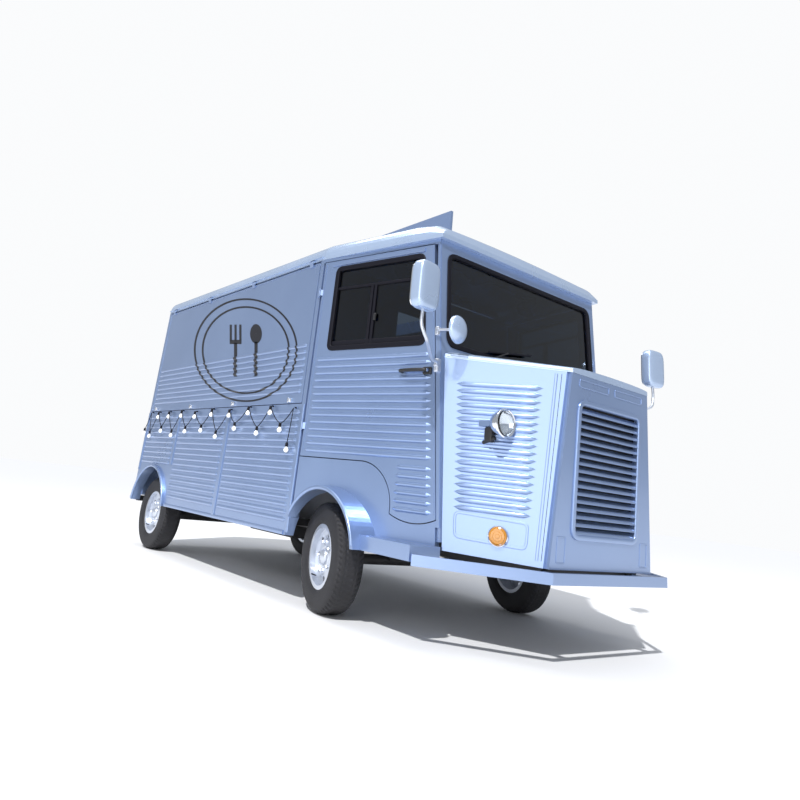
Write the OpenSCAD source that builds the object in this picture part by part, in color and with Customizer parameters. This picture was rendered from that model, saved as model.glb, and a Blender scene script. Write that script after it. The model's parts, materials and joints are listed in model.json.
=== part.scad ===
// Food truck: a small van of ribbed sheet metal with a lift-up hatch in each side.
// All sizes are in millimetres.  The nose points to -Y, the vehicle's right side
// is at -X and Z = 0 is the ground.  Inside the modules Y = 0 is the foot of the
// windscreen; in_frame() then moves the truck so that its middle is at the origin.

/* [Body shell] */
// Outer width of the load body
body_w = 2100; // [1900:10:2600]
// Length of the load body behind the cab
body_len = 2950; // [2400:10:3600]
// Height of the roof gutter above the ground
gutter_z = 2330; // [2200:10:2800]
// Height of the lower edge of the side walls
sill_z = 410; // [380:5:440]
// Height of the line where hatches and lower panels meet
belt_z = 1270; // [1150:10:1400]
// Rise of the roof crown above the gutter
roof_rise = 165; // [100:5:220]
// Thickness of the roof shell
roof_t = 30; // [15:1:45]
// Thickness of the side walls
wall_t = 70; // [60:1:90]
// Width of the flat corner posts of the load body
post_w = 45; // [35:1:70]
// Thickness of the rear wall frame
rear_t = 50; // [45:1:70]
// Thickness of the floor plates
floor_t = 40; // [20:1:50]

/* [Cab] */
// Length of the cab from the windscreen foot to the load body
cab_len = 1140; // [1000:10:1400]
// Outer width of the cab at the windscreen foot
cab_front_w = 1580; // [1400:10:1700]
// Backward lean of the windscreen, in degrees
screen_lean = 4.5; // [0:0.5:10]
// Height of the windscreen's lower edge
screen_low_z = 1645; // [1600:5:1750]
// Distance from the gutter down to the windscreen's upper edge
screen_drop = 85; // [60:5:150]
// Width of the windscreen opening
screen_w = 1500; // [1200:10:1500]
// Height of the cab floor's upper side
cab_floor_z = 760; // [740:5:800]
// Thickness of the cab's front wall
front_wall_t = 30; // [20:1:40]
// Thickness of the pillars beside the doors
pillar_t = 75; // [72:1:80]

/* [Cab doors] */
// Thickness of a cab door
door_t = 40; // [30:1:50]
// Height of the door's lower edge above the wheel arch
door_low_z = 920; // [880:5:960]
// Height of the door's lowest edge in front of the wheel arch
door_toe_z = 600; // [580:5:640]
// Radius of the curve between the two lower edges
door_curve_r = 255; // [200:5:270]
// Distance from the hinge side to the window
window_inset = 150; // [120:5:200]
// Height of the window's lower edge
window_low_z = 1650; // [1600:5:1750]
// Distance from the gutter down to the window's upper edge
window_drop = 95; // [70:5:150]

/* [Nose] */
// Width of the front panel at its top
nose_top_w = 772; // [700:2:840]
// Width of the front panel at its foot
nose_foot_w = 968; // [860:2:1040]
// How far the top of the front panel stands before the windscreen foot
nose_len = 535; // [480:5:700]
// Height of the top edge of the front panel
nose_top_z = 1526; // [1400:2:1560]
// Height of the lower edge of the front panel
nose_low_z = 466; // [450:2:500]
// Forward lean of the front panel, in degrees
nose_lean = 3.2; // [0:0.2:5]
// Thickness of the nose panels
nose_t = 25; // [15:1:30]
// Number of slats in the cooling opening
slat_count = 17; // [9:2:21]

/* [Hatches and rear doors] */
// Thickness of a side hatch
hatch_t = 30; // [20:1:35]
// Thickness of the roof hatch
roof_hatch_t = 25; // [20:1:35]
// Distance of the roof hatch hinge from the middle of the truck
roof_hatch_x = 300; // [200:10:350]
// Width of the roof hatch
roof_hatch_w = 690; // [500:10:700]
// Angle by which the roof hatch stands open, in degrees
roof_hatch_open = 90; // [0:1:90]
// Thickness of the rear doors
rear_door_t = 40; // [30:1:45]

/* [Ribs] */
// Distance between two ribs
rib_pitch = 47; // [40:1:60]
// Radius of the round back of a rib
rib_r = 15; // [10:1:18]
// How far a rib stands out of its panel
rib_h = 10; // [3:0.5:12]
// Length of the tapered end of a rib
rib_tip = 28; // [15:1:40]

/* [Wheels and axles] */
// Outer radius of the tyres
tyre_r = 325; // [300:1:335]
// Width of the tyres
tyre_w = 185; // [155:1:195]
// Outer radius of the rim flange
rim_r = 193; // [185:1:205]
// Distance of the wheel middle from the centre line
wheel_x = 882; // [840:1:882]
// Distance of the front axle behind the windscreen foot
front_axle_y = 849; // [820:1:870]
// Distance of the rear axle before the rear end of the body
rear_axle_inset = 363; // [345:1:700]
// Distance of the steering pivots from the centre line
king_x = 800; // [760:1:800]
// Angle by which the front wheels stand turned to the right, in degrees
steer_rest = 13.5; // [-25:0.5:25]

/* [Chassis] */
// Distance of the chassis rails from the centre line
rail_x = 420; // [350:5:450]
// Width of a chassis rail
rail_w = 60; // [50:1:80]
// Height of a chassis rail
rail_h = 100; // [80:1:100]
// Height of the rails' upper side, which carries the load floor
rail_top_z = 520; // [500:5:540]

/* [Bumper, lamps and mirrors] */
// Width of the bumper's straight middle piece
bumper_w = 1084; // [1000:2:1120]
// Height of the bumper's upper edge
bumper_top_z = 458; // [450:1:460]
// Height of the bumper bar
bumper_h = 56; // [40:1:80]
// Radius of a headlamp
headlamp_r = 76; // [60:1:90]
// Height of the headlamps
headlamp_z = 1180; // [1050:10:1300]
// Radius of a turn signal
signal_r = 50; // [35:1:55]
// Height of the mirror heads
mirror_z = 1860; // [1800:10:1950]
// Half the width over both mirrors
mirror_reach = 1275; // [1240:5:1400]

/* [Lights on the side] */
// Radius of a festoon bulb
bulb_r = 17; // [15:1:25]
// Radius of the festoon cable
cable_r = 5; // [4:0.5:6]

/* [Clearances] */
// Gap around doors and hatches
panel_gap = 6; // [5:0.5:8]
// Gap between a shaft and its bore, and around glass in its frame
fit_gap = 0.3; // [0.2:0.05:0.5]

/* [Hidden] */
$fn = 48;

half_w = body_w / 2;
rear_y = cab_len + body_len;
front_y = -nose_len - 12;            // front face of the bumper
rear_end_y = rear_y + 62;            // rear edge of the rear step
mid_y = (front_y + rear_end_y) / 2;
inner_x = half_w - wall_t;           // inner face of the side walls

// The door plane runs from the load body to the windscreen corner.
door_angle = atan((body_w - cab_front_w) / 2 / cab_len);
door_len = cab_len / cos(door_angle);

paint = [0.62, 0.72, 0.88];
paint_light = [0.80, 0.88, 0.98];
steel = [0.72, 0.74, 0.78];
dark = [0.12, 0.12, 0.14];
glass = [0.20, 0.28, 0.38];
amber = [0.90, 0.50, 0.08];
red = [0.70, 0.08, 0.08];

// ---------------------------------------------------------------- helpers

module in_frame() { translate([0, -mid_y, 0]) children(); }

// The left side is the mirror image of the right side.
module left_side() { mirror([1, 0, 0]) children(); }

// A box from its lowest corner to its highest corner.
module box(a, b) { translate(a) cube(b - a); }

// An outline drawn in (y, z), as thick along X as from x0 to x1.
module plate_yz(x0, x1) {
    translate([x0, 0, 0]) rotate([90, 0, 90]) linear_extrude(x1 - x0) children();
}

// An outline drawn in (x, z), as thick along Y as from y0 to y1.
module plate_xz(y0, y1) {
    translate([0, y1, 0]) rotate([90, 0, 0]) linear_extrude(y1 - y0) children();
}

// The frame of the right door plane: X runs forward along the door from the load
// body, Y runs inward from the outer skin and Z is up.
module door_frame() {
    translate([-half_w, cab_len, 0]) rotate([0, 0, door_angle - 90]) children();
}

// Distance along the door plane of a point at y behind the windscreen foot.
function along(y) = (cab_len - y) / cos(door_angle);

// Half width of the cab at y, with its skin moved inward by an inset.
function cab_half(y, inset = 0) =
    half_w - (cab_len - y) * tan(door_angle) - inset / cos(door_angle);

// How far the windscreen plane lies behind its foot at a height.
function screen_y(z) = (z - sill_z) * tan(screen_lean);

// One rib along local X, sunk so that it stands rib_h out of the plane y = 0,
// with both ends running out to points.
module rib(x0, x1, z) {
    d = rib_r - rib_h;
    translate([x0, d, z]) rotate([0, 90, 0]) {
        cylinder(r1 = d, r2 = rib_r, h = rib_tip);
        translate([0, 0, rib_tip]) cylinder(r = rib_r, h = x1 - x0 - 2 * rib_tip);
        translate([0, 0, x1 - x0 - rib_tip]) cylinder(r1 = rib_r, r2 = d, h = rib_tip);
    }
}

// A tube of radius r between two points, a little longer so that tubes that
// meet at a corner run into each other.
module rod(a, b, r) {
    d = b - a;
    l = norm(d);
    translate(a) rotate([0, acos(d[2] / l), atan2(d[1], d[0])])
        translate([0, 0, -r / 2]) cylinder(r = r, h = l + r, $fn = 12);
}

hinge_r = 9;                          // outer radius of a hinge barrel
pin_r = 4;                            // radius of a hinge pin
ear_t = 8;                            // thickness of the ears that hold a pin
barrel_l = 44;                        // length of a hinge barrel
arm_w = 12;                           // width of a hinge arm
hinge_out = 12;                       // how far hinge axes lie outside their panels

// A flat arm from the hinge axis along a vector, drawn in the hinge's own plane.
module arm(reach, r) {
    circle(r = r);
    rotate(atan2(reach[1], reach[0])) translate([0, -arm_w / 2]) square([norm(reach), arm_w]);
}

// The fixed half of a hinge along Z: a pin between two ears that reach by a
// vector to what carries them.
module hinge_ears(reach) {
    translate([0, 0, -barrel_l / 2 - ear_t]) cylinder(r = pin_r, h = barrel_l + 2 * ear_t);
    for (z = [-barrel_l / 2 - ear_t, barrel_l / 2])
        translate([0, 0, z]) linear_extrude(ear_t) arm(reach, hinge_r - 1);
}

// The moving half of a hinge along Z, with an arm that reaches by a vector.
module hinge_barrel(reach) {
    h = barrel_l - 2 * fit_gap;
    difference() {
        translate([0, 0, -h / 2]) linear_extrude(h) arm(reach, hinge_r);
        translate([0, 0, -h / 2 - 1]) cylinder(r = pin_r + fit_gap, h = h + 2);
    }
}

// ---------------------------------------------------------------- chassis

rail_front_y = -nose_len + 130;
cross_ys = [-340, 120, 520, 1180, 2100, 2900, rear_y - 130];

module chassis_frame() in_frame() color(dark) {
    z0 = rail_top_z - rail_h;
    for (s = [-1, 1])
        box([s * rail_x - rail_w / 2, rail_front_y, z0],
            [s * rail_x + rail_w / 2, rear_y - rear_t - 10, rail_top_z]);
    for (y = cross_ys)
        box([-rail_x, y - 30, z0 + 15], [rail_x, y + 30, rail_top_z]);
    // outriggers that carry the side sills
    for (y = [1290, 2100, 2900])
        box([-inner_x, y - 25, rail_top_z - 50], [inner_x, y + 25, rail_top_z]);
}

floor_front_y = cab_len + 60;          // the load floor starts behind the front wheels
toe_y = screen_y(cab_floor_z) + front_wall_t + 8;    // front edge of the cab floor
well_x = 720;                          // inner side of the rear wheel boxes
well_top_z = 2 * tyre_r + 85;          // upper side of the rear wheel boxes
rear_axle_y = rear_y - rear_axle_inset;
well_front_y = rear_axle_y - tyre_r - 52;

module floor_pan() in_frame() color(steel) difference() {
    union() {
        box([-inner_x, floor_front_y, rail_top_z],
            [inner_x, rear_y - rear_t, rail_top_z + floor_t]);
        box([-inner_x, floor_front_y, rail_top_z], [inner_x, floor_front_y + 30, cab_floor_z]);
        translate([0, 0, cab_floor_z - floor_t]) linear_extrude(floor_t) polygon([
            [-inner_x, floor_front_y + 30], [-inner_x, cab_len],
            [-cab_half(toe_y, pillar_t), toe_y],
            [cab_half(toe_y, pillar_t), toe_y],
            [inner_x, cab_len], [inner_x, floor_front_y + 30]]);
        for (s = [0, 1]) mirror([s, 0, 0])
            box([-inner_x, well_front_y - 20, rail_top_z], [-well_x, rear_y - rear_t, well_top_z]);
    }
    for (s = [0, 1]) mirror([s, 0, 0])
        box([-inner_x - 1, well_front_y, rail_top_z - 1],
            [-well_x - 20, rear_y - rear_t + 1, well_top_z - 20]);
}

// ---------------------------------------------------------------- side walls

hatch_y0 = cab_len + post_w + panel_gap;
hatch_y1 = rear_y - post_w - panel_gap;
hatch_z0 = belt_z + panel_gap;
hatch_z1 = gutter_z - 14;
hatch_axis_x = half_w + hinge_out;
hatch_axis_z = gutter_z + 4;
hatch_hinge_ys = [1300, 2205, 3070, 3935];
frame_w = 60;                          // width of the recessed frame round the opening

arch_y = rear_axle_y - 37;             // the rear arch reaches further forward
arch_z = tyre_r + 20;
arch_r = tyre_r + 65;
front_arch_y = front_axle_y - 39;
front_arch_z = tyre_r + 20;
front_arch_r = tyre_r + 50;
flare_w = 26;                          // width of the lip round a wheel arch
flare_out = 20;                        // how far the lip stands out
divider_ys = [2265, 3287];             // flat posts between the ribbed panels
divider_w = 64;

module side_wall() color(paint) difference() {
    union() {
        plate_yz(-half_w, -inner_x) difference() {
            translate([cab_len, sill_z]) square([body_len, gutter_z - sill_z]);
            translate([hatch_y0 - panel_gap, belt_z])
                square([hatch_y1 - hatch_y0 + 2 * panel_gap, gutter_z]);
        }
        plate_yz(-half_w + hatch_t + panel_gap, -inner_x) difference() {
            translate([cab_len + 1, belt_z - 1])
                square([body_len - 2, gutter_z - belt_z + 1]);
            translate([hatch_y0 + frame_w, belt_z + frame_w])
                square([hatch_y1 - hatch_y0 - 2 * frame_w,
                        gutter_z - belt_z - 2 * frame_w]);
        }
        translate([-half_w, 0, 0]) rotate([0, 0, 90]) mirror([0, 1, 0]) side_ribs();
        intersection() {
            plate_yz(-half_w - flare_out, -half_w + 1) difference() {
                translate([arch_y, arch_z]) circle(r = arch_r + flare_w, $fn = 96);
                translate([0, sill_z - 500]) square([rear_y + 500, 500]);
            }
            box([-half_w - 50, cab_len, sill_z], [0, rear_y, belt_z]);
        }
    }
    plate_yz(-half_w - 60, -inner_x + 1) translate([arch_y, arch_z]) circle(r = arch_r, $fn = 96);
    plate_yz(-half_w - 60, -inner_x + 1)
        translate([front_arch_y, front_arch_z]) circle(r = front_arch_r, $fn = 96);
}

// The ribs of the lower wall, between its posts, drawn along local X.
module side_ribs() {
    panel_ys = [cab_len + 50, divider_ys[0] - divider_w / 2, divider_ys[0] + divider_w / 2,
                divider_ys[1] - divider_w / 2, divider_ys[1] + divider_w / 2, rear_y - 40];
    for (z = [belt_z - 60 : -rib_pitch : sill_z + 60], i = [0, 2, 4])
        if (i < 4 || z > arch_z + arch_r + 45)
            rib(panel_ys[i], panel_ys[i + 1], z);
}

module right_side_wall() in_frame() {
    side_wall();
    color(dark) light_pins();
    color(steel) for (z = door_hinge_zs) door_hinge_place(z) hinge_ears([-27, 22]);
}

module left_side_wall() in_frame() left_side() {
    side_wall();
    color(steel) for (z = door_hinge_zs) door_hinge_place(z) hinge_ears([-27, 22]);
}

// ---------------------------------------------------------------- rear wall

rear_post_w = 80;                      // width of the posts beside the rear doors
rear_sill_z = sill_z + 50;
rear_head_h = 60;
rear_open_x = inner_x - rear_post_w;
rear_open_z0 = rear_sill_z + 40;
rear_open_z1 = gutter_z - rear_head_h;
rear_axis_y = rear_y + hinge_out;

module rear_frame() in_frame() {
    color(paint) plate_xz(rear_y - rear_t, rear_y) difference() {
        translate([-inner_x, rear_sill_z]) square([2 * inner_x, gutter_z - rear_sill_z]);
        translate([-rear_open_x, rear_open_z0])
            square([2 * rear_open_x, rear_open_z1 - rear_open_z0]);
    }
    color(steel) {
        for (x = tailgate_hinge_xs) tailgate_hinge_place(x) hinge_ears([-16, 16]);
        for (s = [0, 1], z = rear_hinge_zs) mirror([s, 0, 0])
            rear_hinge_place(z) hinge_ears([-16, -16]);
    }
}

rear_hinge_zs = [rear_open_z0 + 150, belt_z - 150];
rear_hinge_x = rear_open_x + 6;
tailgate_hinge_xs = [-600, 600];

// The frame of a tailgate hinge: Z runs along the hinge, Y points up.
module tailgate_hinge_place(x) {
    translate([x, rear_axis_y, rear_open_z1 + 8]) rotate([90, 0, 90]) children();
}

module rear_hinge_place(z) { translate([-rear_hinge_x, rear_axis_y, z]) children(); }

tow_hole_r = 8.5;
tow_hole_spacing = 90;

module rear_step() in_frame() color(dark) {
    difference() {
        box([-half_w + 60, rear_y + 2, sill_z - 10], [half_w - 60, rear_end_y, sill_z + 40]);
        for (x = [-tow_hole_spacing / 2, tow_hole_spacing / 2])
            translate([x, rear_y, sill_z + 15]) rotate([-90, 0, 0])
                cylinder(r = tow_hole_r, h = rear_end_y - rear_y + 2);
    }
    for (s = [-1, 1])
        box([s * rail_x - 25, rear_y - rear_t - 10, sill_z + 12],
            [s * rail_x + 25, rear_y + 3, sill_z + 40]);
}

module tail_lamps() in_frame() color(red)
    for (s = [-1, 1], z = [sill_z + 330, sill_z + 450, sill_z + 570])
        translate([s * (half_w - 75), rear_y, z]) rotate([-90, 0, 0])
            cylinder(r1 = 42, r2 = 38, h = 24);

// ---------------------------------------------------------------- roof

shoulder_x = 130;                      // width of the rounded shoulder
shoulder_part = 0.86;                  // share of the rise taken up by the shoulder
lip_h = 26;                            // height of the upright edge above the gutter
roof_front_y = 115;                    // front edge of the roof
roof_over = 30;                        // how far the roof stands out over the cab
ledge_w = 45;                          // width of the ledge that rests on the cab
rail_out = 16;                         // how far the drip rail stands out
rail_z = gutter_z + 20;                // underside of the drip rail

// The cross section of the roof, from its right foot over the crown to its left
// foot, for a half width and a share of the full rise, lowered by an inset.
function roof_outline(w, share, inset) = let (
    b = (roof_rise - lip_h) * share,
    z0 = gutter_z + lip_h,
    side = [for (a = [0 : 15 : 90])
        [w - shoulder_x + shoulder_x * cos(a), z0 + b * shoulder_part * sin(a)]],
    top = [for (k = [0.66, 0.33, 0])
        [(w - shoulder_x) * k, z0 + b * (shoulder_part + (1 - shoulder_part) * (1 - k * k))]],
    half = concat([[w, gutter_z]], side, top)
) concat([for (p = half) [p[0], p[1] - inset]],
         [for (i = [len(half) - 2 : -1 : 0]) [-half[i][0], half[i][1] - inset]]);

module roof_slice(y, w, share, inset) {
    translate([0, y + 1, 0]) rotate([90, 0, 0]) linear_extrude(1)
        polygon(roof_outline(w - inset, share, inset));
}

// The roof as a solid from y0 to y1, standing out by an overhang along the cab.
module roof_solid(inset, over, y0, y1) hull() {
    roof_slice(y1 - 1, half_w, 1, inset);
    roof_slice(cab_len, half_w, 1, inset);
    for (p = [[240, 1], [110, 0.86], [30, 0.5], [0, 0.04]])
        roof_slice(y0 + p[0], cab_half(y0 + p[0]) + over, p[1], inset);
}

curb_t = 22;                           // wall of the curb round the roof opening
lid_y0 = cab_len + 78;
lid_y1 = rear_y - 90;
lid_z = gutter_z + roof_rise + 22;     // underside of the shut lid
lid_axis_x = roof_hatch_x - 14;
lid_axis_z = lid_z + 6;
lid_hinge_ys = [lid_y0 + 300, (lid_y0 + lid_y1) / 2, lid_y1 - 300];
curb_x0 = roof_hatch_x + 14;
curb_x1 = roof_hatch_x + roof_hatch_w - 14;

module roof_panel() in_frame() {
    color(paint_light) difference() {
        union() {
            difference() {
                roof_solid(0, roof_over, roof_front_y, rear_y);
                roof_solid(roof_t, roof_t - ledge_w, roof_front_y + roof_over + ledge_w, rear_y - roof_t);
            }
            box([curb_x0, lid_y0 + 14, gutter_z + 55], [curb_x1, lid_y1 - 14, lid_z - 6]);
        }
        box([curb_x0 + curb_t, lid_y0 + 14 + curb_t, gutter_z],
            [curb_x1 - curb_t, lid_y1 - 14 - curb_t, lid_z + 10]);
    }
    color(steel) {
        for (s = [0, 1]) mirror([s, 0, 0]) {
            box([-half_w - rail_out, cab_len + 20, rail_z], [-half_w + 6, rear_y - 10, rail_z + 6]);
            for (y = hatch_hinge_ys) hatch_hinge_place(y) hinge_ears([20, 12]);
        }
        for (y = lid_hinge_ys) lid_hinge_place(y) hinge_ears([0, -44]);
    }
}

// The frames of the hatch hinges: Z runs along the hinge, X and Y are the
// truck's X and Z.
module hatch_hinge_place(y) {
    translate([-hatch_axis_x, y, hatch_axis_z]) rotate([90, 0, 0]) children();
}

module lid_hinge_place(y) {
    translate([lid_axis_x, y, lid_axis_z]) rotate([90, 0, 0]) children();
}

// ---------------------------------------------------------------- cab

door_axis_u = 4;                       // hinge axis, measured along the door plane
door_start = 15;                       // rear edge of the door
door_hinge_zs = [1118, gutter_z - 261];
door_top_z = gutter_z - 30;
front_gap = 30;                        // from the cab's front corner to the door's foot
front_gap_top = 50;                    // the same at the door's top

// The corner line of the cab and the door's front edge, along the door plane.
function corner_u(z) = along(screen_y(z));
function door_front_u(z) = corner_u(z) - front_gap
    - (front_gap_top - front_gap) * (z - door_toe_z) / (door_top_z - door_toe_z);

curve_u = along(front_arch_y - 205);   // middle of the curve in the door's lower edge
toe_u = curve_u + door_curve_r;        // rear end of the door's toe
toe_sag = 35;                          // how far the toe's lower edge bows down

// The outline of the door in its own plane, grown by g on every side.
module door_outline(g) {
    toe_w = door_front_u(door_toe_z) - toe_u;
    toe_r = (toe_w * toe_w / 4 + toe_sag * toe_sag) / (2 * toe_sag);
    z1 = door_low_z - door_curve_r;
    difference() {
        polygon([[door_start - g, door_low_z - g], [toe_u - g, door_low_z - g], [toe_u - g, z1],
                 [door_front_u(z1) + g, z1], [door_front_u(door_top_z + g) + g, door_top_z + g],
                 [door_start - g, door_top_z + g]]);
        // the quarter circle over the wheel arch
        translate([curve_u, z1]) circle(r = door_curve_r - g, $fn = 96);
    }
    difference() {
        polygon([[curve_u, door_low_z - g + 1], [curve_u, door_low_z - g],
                 [toe_u - g, z1], [toe_u - g, door_low_z]]);
        translate([curve_u, z1]) circle(r = door_curve_r - g, $fn = 96);
    }
    intersection() {
        polygon([[toe_u - g, door_toe_z - g - 1], [door_front_u(door_toe_z) + g, door_toe_z - g - 1],
                 [door_front_u(z1) + g, z1 + 1], [toe_u - g, z1 + 1]]);
        translate([toe_u + toe_w / 2, door_toe_z + toe_r]) circle(r = toe_r + g, $fn = 120);
    }
}

window_high_z = gutter_z - window_drop;
window_front_inset = 84;               // from the door's front edge to the window

module window_outline(g) {
    polygon([[window_inset - g, window_low_z - g],
             [door_front_u(window_low_z) - window_front_inset + g, window_low_z - g],
             [door_front_u(window_high_z) - window_front_inset + g, window_high_z + g],
             [window_inset - g, window_high_z + g]]);
}

// An outline in the door plane made solid from v0 to v1 behind the outer skin.
module door_slab(v0, v1) {
    translate([0, v1, 0]) rotate([90, 0, 0]) linear_extrude(v1 - v0) children();
}

module door_hinge_place(z) { door_frame() translate([door_axis_u, -hinge_out, z]) children(); }

module cab_door() {
    color(paint) door_frame() {
        door_slab(0, door_t) difference() {
            door_outline(0);
            window_outline(0);
        }
        for (z = [window_low_z - 75 : -rib_pitch : door_low_z + 40])
            rib(door_start + 30, door_front_u(z) - 30, z);
        for (z = [door_low_z - 20 : -rib_pitch : door_toe_z + 45])
            rib(toe_u + 15, door_front_u(z) - 30, z);
    }
    color(dark) {
        for (z = door_hinge_zs) door_hinge_place(z) hinge_barrel([24, 16]);
        door_frame() door_handle();
    }
}

handle_z = 1472;

// The outside handle: two posts and a bar near the door's front edge.
module door_handle() {
    u = door_front_u(handle_z) - 55;
    for (d = [0, 150]) translate([u - d, -28, handle_z]) rotate([-90, 0, 0]) cylinder(r = 8, h = 30);
    translate([u - 175, -30, handle_z]) rotate([0, 90, 0]) cylinder(r = 10, h = 200);
}

glass_v = 15;                          // depth of the door glass behind the skin
glass_t = 5;

module right_door() in_frame() cab_door();
module left_door() in_frame() left_side() cab_door();

module door_glass() color(glass) door_frame()
    door_slab(glass_v, glass_v + glass_t) window_outline(-fit_gap);

module right_door_glass() in_frame() door_glass();
module left_door_glass() in_frame() left_side() door_glass();

// The frame of the leaning front wall: X across, Z up along the wall.
module screen_frame() {
    translate([0, 0, sill_z]) rotate([-screen_lean, 0, 0]) translate([0, 0, -sill_z]) children();
}

screen_high_z = gutter_z - screen_drop;
screen_r = 45;                         // corner radius of the windscreen

module screen_outline(g) {
    w = screen_w / 2 - g - screen_r;
    hull() for (x = [-w, w], z = [screen_low_z + screen_r + g, screen_high_z - screen_r - g])
        translate([x, z]) circle(r = screen_r);
}

// The front wall stands on the rails; its inner edge is its lowest, as it leans.
cab_foot_z = sill_z + (rail_top_z + fit_gap - sill_z + front_wall_t * sin(screen_lean)) / cos(screen_lean);

module cab_frame() in_frame() color(paint) {
    difference() {
        screen_frame() plate_xz(0, front_wall_t) difference() {
            polygon([[-cab_half(0) + 2, cab_foot_z], [cab_half(0) - 2, cab_foot_z],
                     [cab_half(screen_y(gutter_z)) - 2, gutter_z + 20],
                     [-cab_half(screen_y(gutter_z)) + 2, gutter_z + 20]]);
            screen_outline(0);
        }
        box([-half_w, -200, gutter_z - fit_gap], [half_w, 500, gutter_z + 100]);
    }
    for (s = [0, 1]) mirror([s, 0, 0]) difference() {
        door_frame() door_slab(0, pillar_t) difference() {
            polygon([[0, door_toe_z - panel_gap], [corner_u(door_toe_z) - 4, door_toe_z - panel_gap],
                     [corner_u(gutter_z) - 4, gutter_z - fit_gap], [0, gutter_z - fit_gap]]);
            door_outline(panel_gap);
            fender_outline(fit_gap);
            square([door_front_u(door_toe_z) - 120, door_top_z]);
        }
        box([-half_w - 50, cab_len, 0], [0, cab_len + 200, gutter_z + 10]);
    }
}

bulkhead_t = 30;

module bulkhead() in_frame() color(paint)
    plate_xz(cab_len + 1, cab_len + 1 + bulkhead_t) difference() {
        translate([-inner_x, cab_floor_z]) square([2 * inner_x, gutter_z - cab_floor_z]);
        translate([-300, cab_floor_z + 60]) square([600, gutter_z - cab_floor_z - 260]);
    }

module windscreen() in_frame() color(glass)
    screen_frame() plate_xz(12, 18) screen_outline(fit_gap);

// ---------------------------------------------------------------- nose

nose_rear_low_z = 482;                 // lower edge of the side panels at the cab
nose_rise = 58;                        // climb of the side panels' upper edge
hood_t = 24;
hood_gap = 0.5;                        // the hood rests on the panels below it

// The front panel's frame: X across, Z up along the panel from its foot.
module nose_frame() {
    translate([0, nose_y(0), nose_low_z]) rotate([nose_lean, 0, 0]) children();
}

panel_h = (nose_top_z - hood_t - hood_gap - nose_low_z) / cos(nose_lean);
louvre_w = 580;                        // width of the cooling opening
louvre_z0 = 185;                       // its foot above the panel's foot
louvre_z1 = 870;

module grille_panel() in_frame() color(paint) nose_frame() {
    pitch = (louvre_z1 - louvre_z0) / slat_count;
    difference() {
        plate_xz(0, nose_t) polygon([
            [-nose_foot_w / 2, 0], [nose_foot_w / 2, 0],
            [nose_top_w / 2, panel_h], [-nose_top_w / 2, panel_h]]);
        box([-louvre_w / 2, -1, louvre_z0], [louvre_w / 2, nose_t + 1, louvre_z1]);
    }
    for (i = [0 : slat_count - 1]) translate([0, nose_t / 2, louvre_z0 + pitch * (i + 0.5)])
        rotate([40, 0, 0]) cube([louvre_w + 10, nose_t, 3], center = true);
}

// A point of the nose's left side: t = 0 at the front panel and 1 at the cab,
// k = 0 at the foot and 1 at the top, moved inward by an inset and down by a drop.
function nose_y(k) = -nose_len + (1 - k) * (nose_top_z - nose_low_z) * tan(nose_lean);
function nose_back_z(k) = nose_rear_low_z + (nose_top_z + nose_rise - nose_rear_low_z) * k;
function nose_back_y(k, drop) = screen_y(nose_back_z(k) - drop) - hood_gap;
function nose_run(k, drop = 0) = let (x0 = nose_foot_w / 2 + (nose_top_w - nose_foot_w) / 2 * k)
    [cab_half(0) - 14 - x0, nose_back_y(k, drop) - nose_y(k), x0];
function nose_point(t, k, inset = 0, drop = 0) = let (
    d = nose_run(k, drop),
    z0 = nose_low_z + (nose_top_z - nose_low_z) * k
) [d[2] + d[0] * t - inset * norm([d[0], d[1]]) / d[1], nose_y(k) + d[1] * t,
   z0 + (nose_back_z(k) - z0) * t - drop];

// Where a side panel starts, so that it stands just behind the front panel.
function nose_start(k) = let (drop = k * (hood_t + hood_gap))
    (nose_t / cos(nose_lean) + hood_gap + drop * tan(nose_lean)) / nose_run(k, drop)[1];

headlamp_x = nose_point(0.62, 0.66)[0] + 20;
headlamp_back_y = nose_point(0.62, 0.66)[1] - 45;
headlamp_len = 120;
pod_h = 14;                            // how far the turn signal's pod stands out

// The turn signal's own frame on the left side panel, with Z pointing outward.
module signal_place() {
    translate(nose_point(0.47, 0.11)) rotate([0, 0, atan2(nose_run(0.11)[1], nose_run(0.11)[0])])
        rotate([90, 0, 0]) children();
}

module nose_side() {
    color(paint) hull() for (inset = [0, nose_t], k = [0, 1], end = [0, 1])
        translate(nose_point(end == 1 ? 1 : nose_start(k), k, inset, k * (hood_t + hood_gap)))
            cube(0.1);
    color(steel) {
        // arm of the headlamp, with a flat end that carries the bowl
        box([headlamp_x - 18, headlamp_back_y, headlamp_z - 16],
            [headlamp_x + 18, headlamp_back_y + 80, headlamp_z + 16]);
        signal_place() translate([0, 0, -15]) cylinder(r = signal_r + 3, h = 15 + pod_h);
    }
}

module nose_left_panel() in_frame() nose_side();
module nose_right_panel() in_frame() left_side() nose_side();

// The hood's outer body, crowned across, lowered and drawn in for its hollow.
module hood_solid(drop, inset) {
    front = nose_point(0, 1);
    back = nose_point(1, 1) - [0, hood_t * tan(screen_lean) + 1, 0];
    hull() for (e = [[front, 16, inset], [back, 52, -inset]]) {
        w = e[0][0] - inset;
        translate([0, e[0][1] + e[2] + 0.5, e[0][2] - drop]) rotate([90, 0, 0]) linear_extrude(1)
            polygon(concat([[-w, -hood_t], [w, -hood_t]],
                           [for (a = [0 : 15 : 180]) [w * cos(a), e[1] * sin(a)]]));
    }
}

module hood_panel() in_frame() color(paint_light) difference() {
    hood_solid(0, 0);
    hood_solid(hood_t, 20);
}

// ---------------------------------------------------------------- bumper and fenders

bumper_end = [half_w - 30, -22];       // rear end of the bumper's slanted piece
bumper_t = 25;
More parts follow.
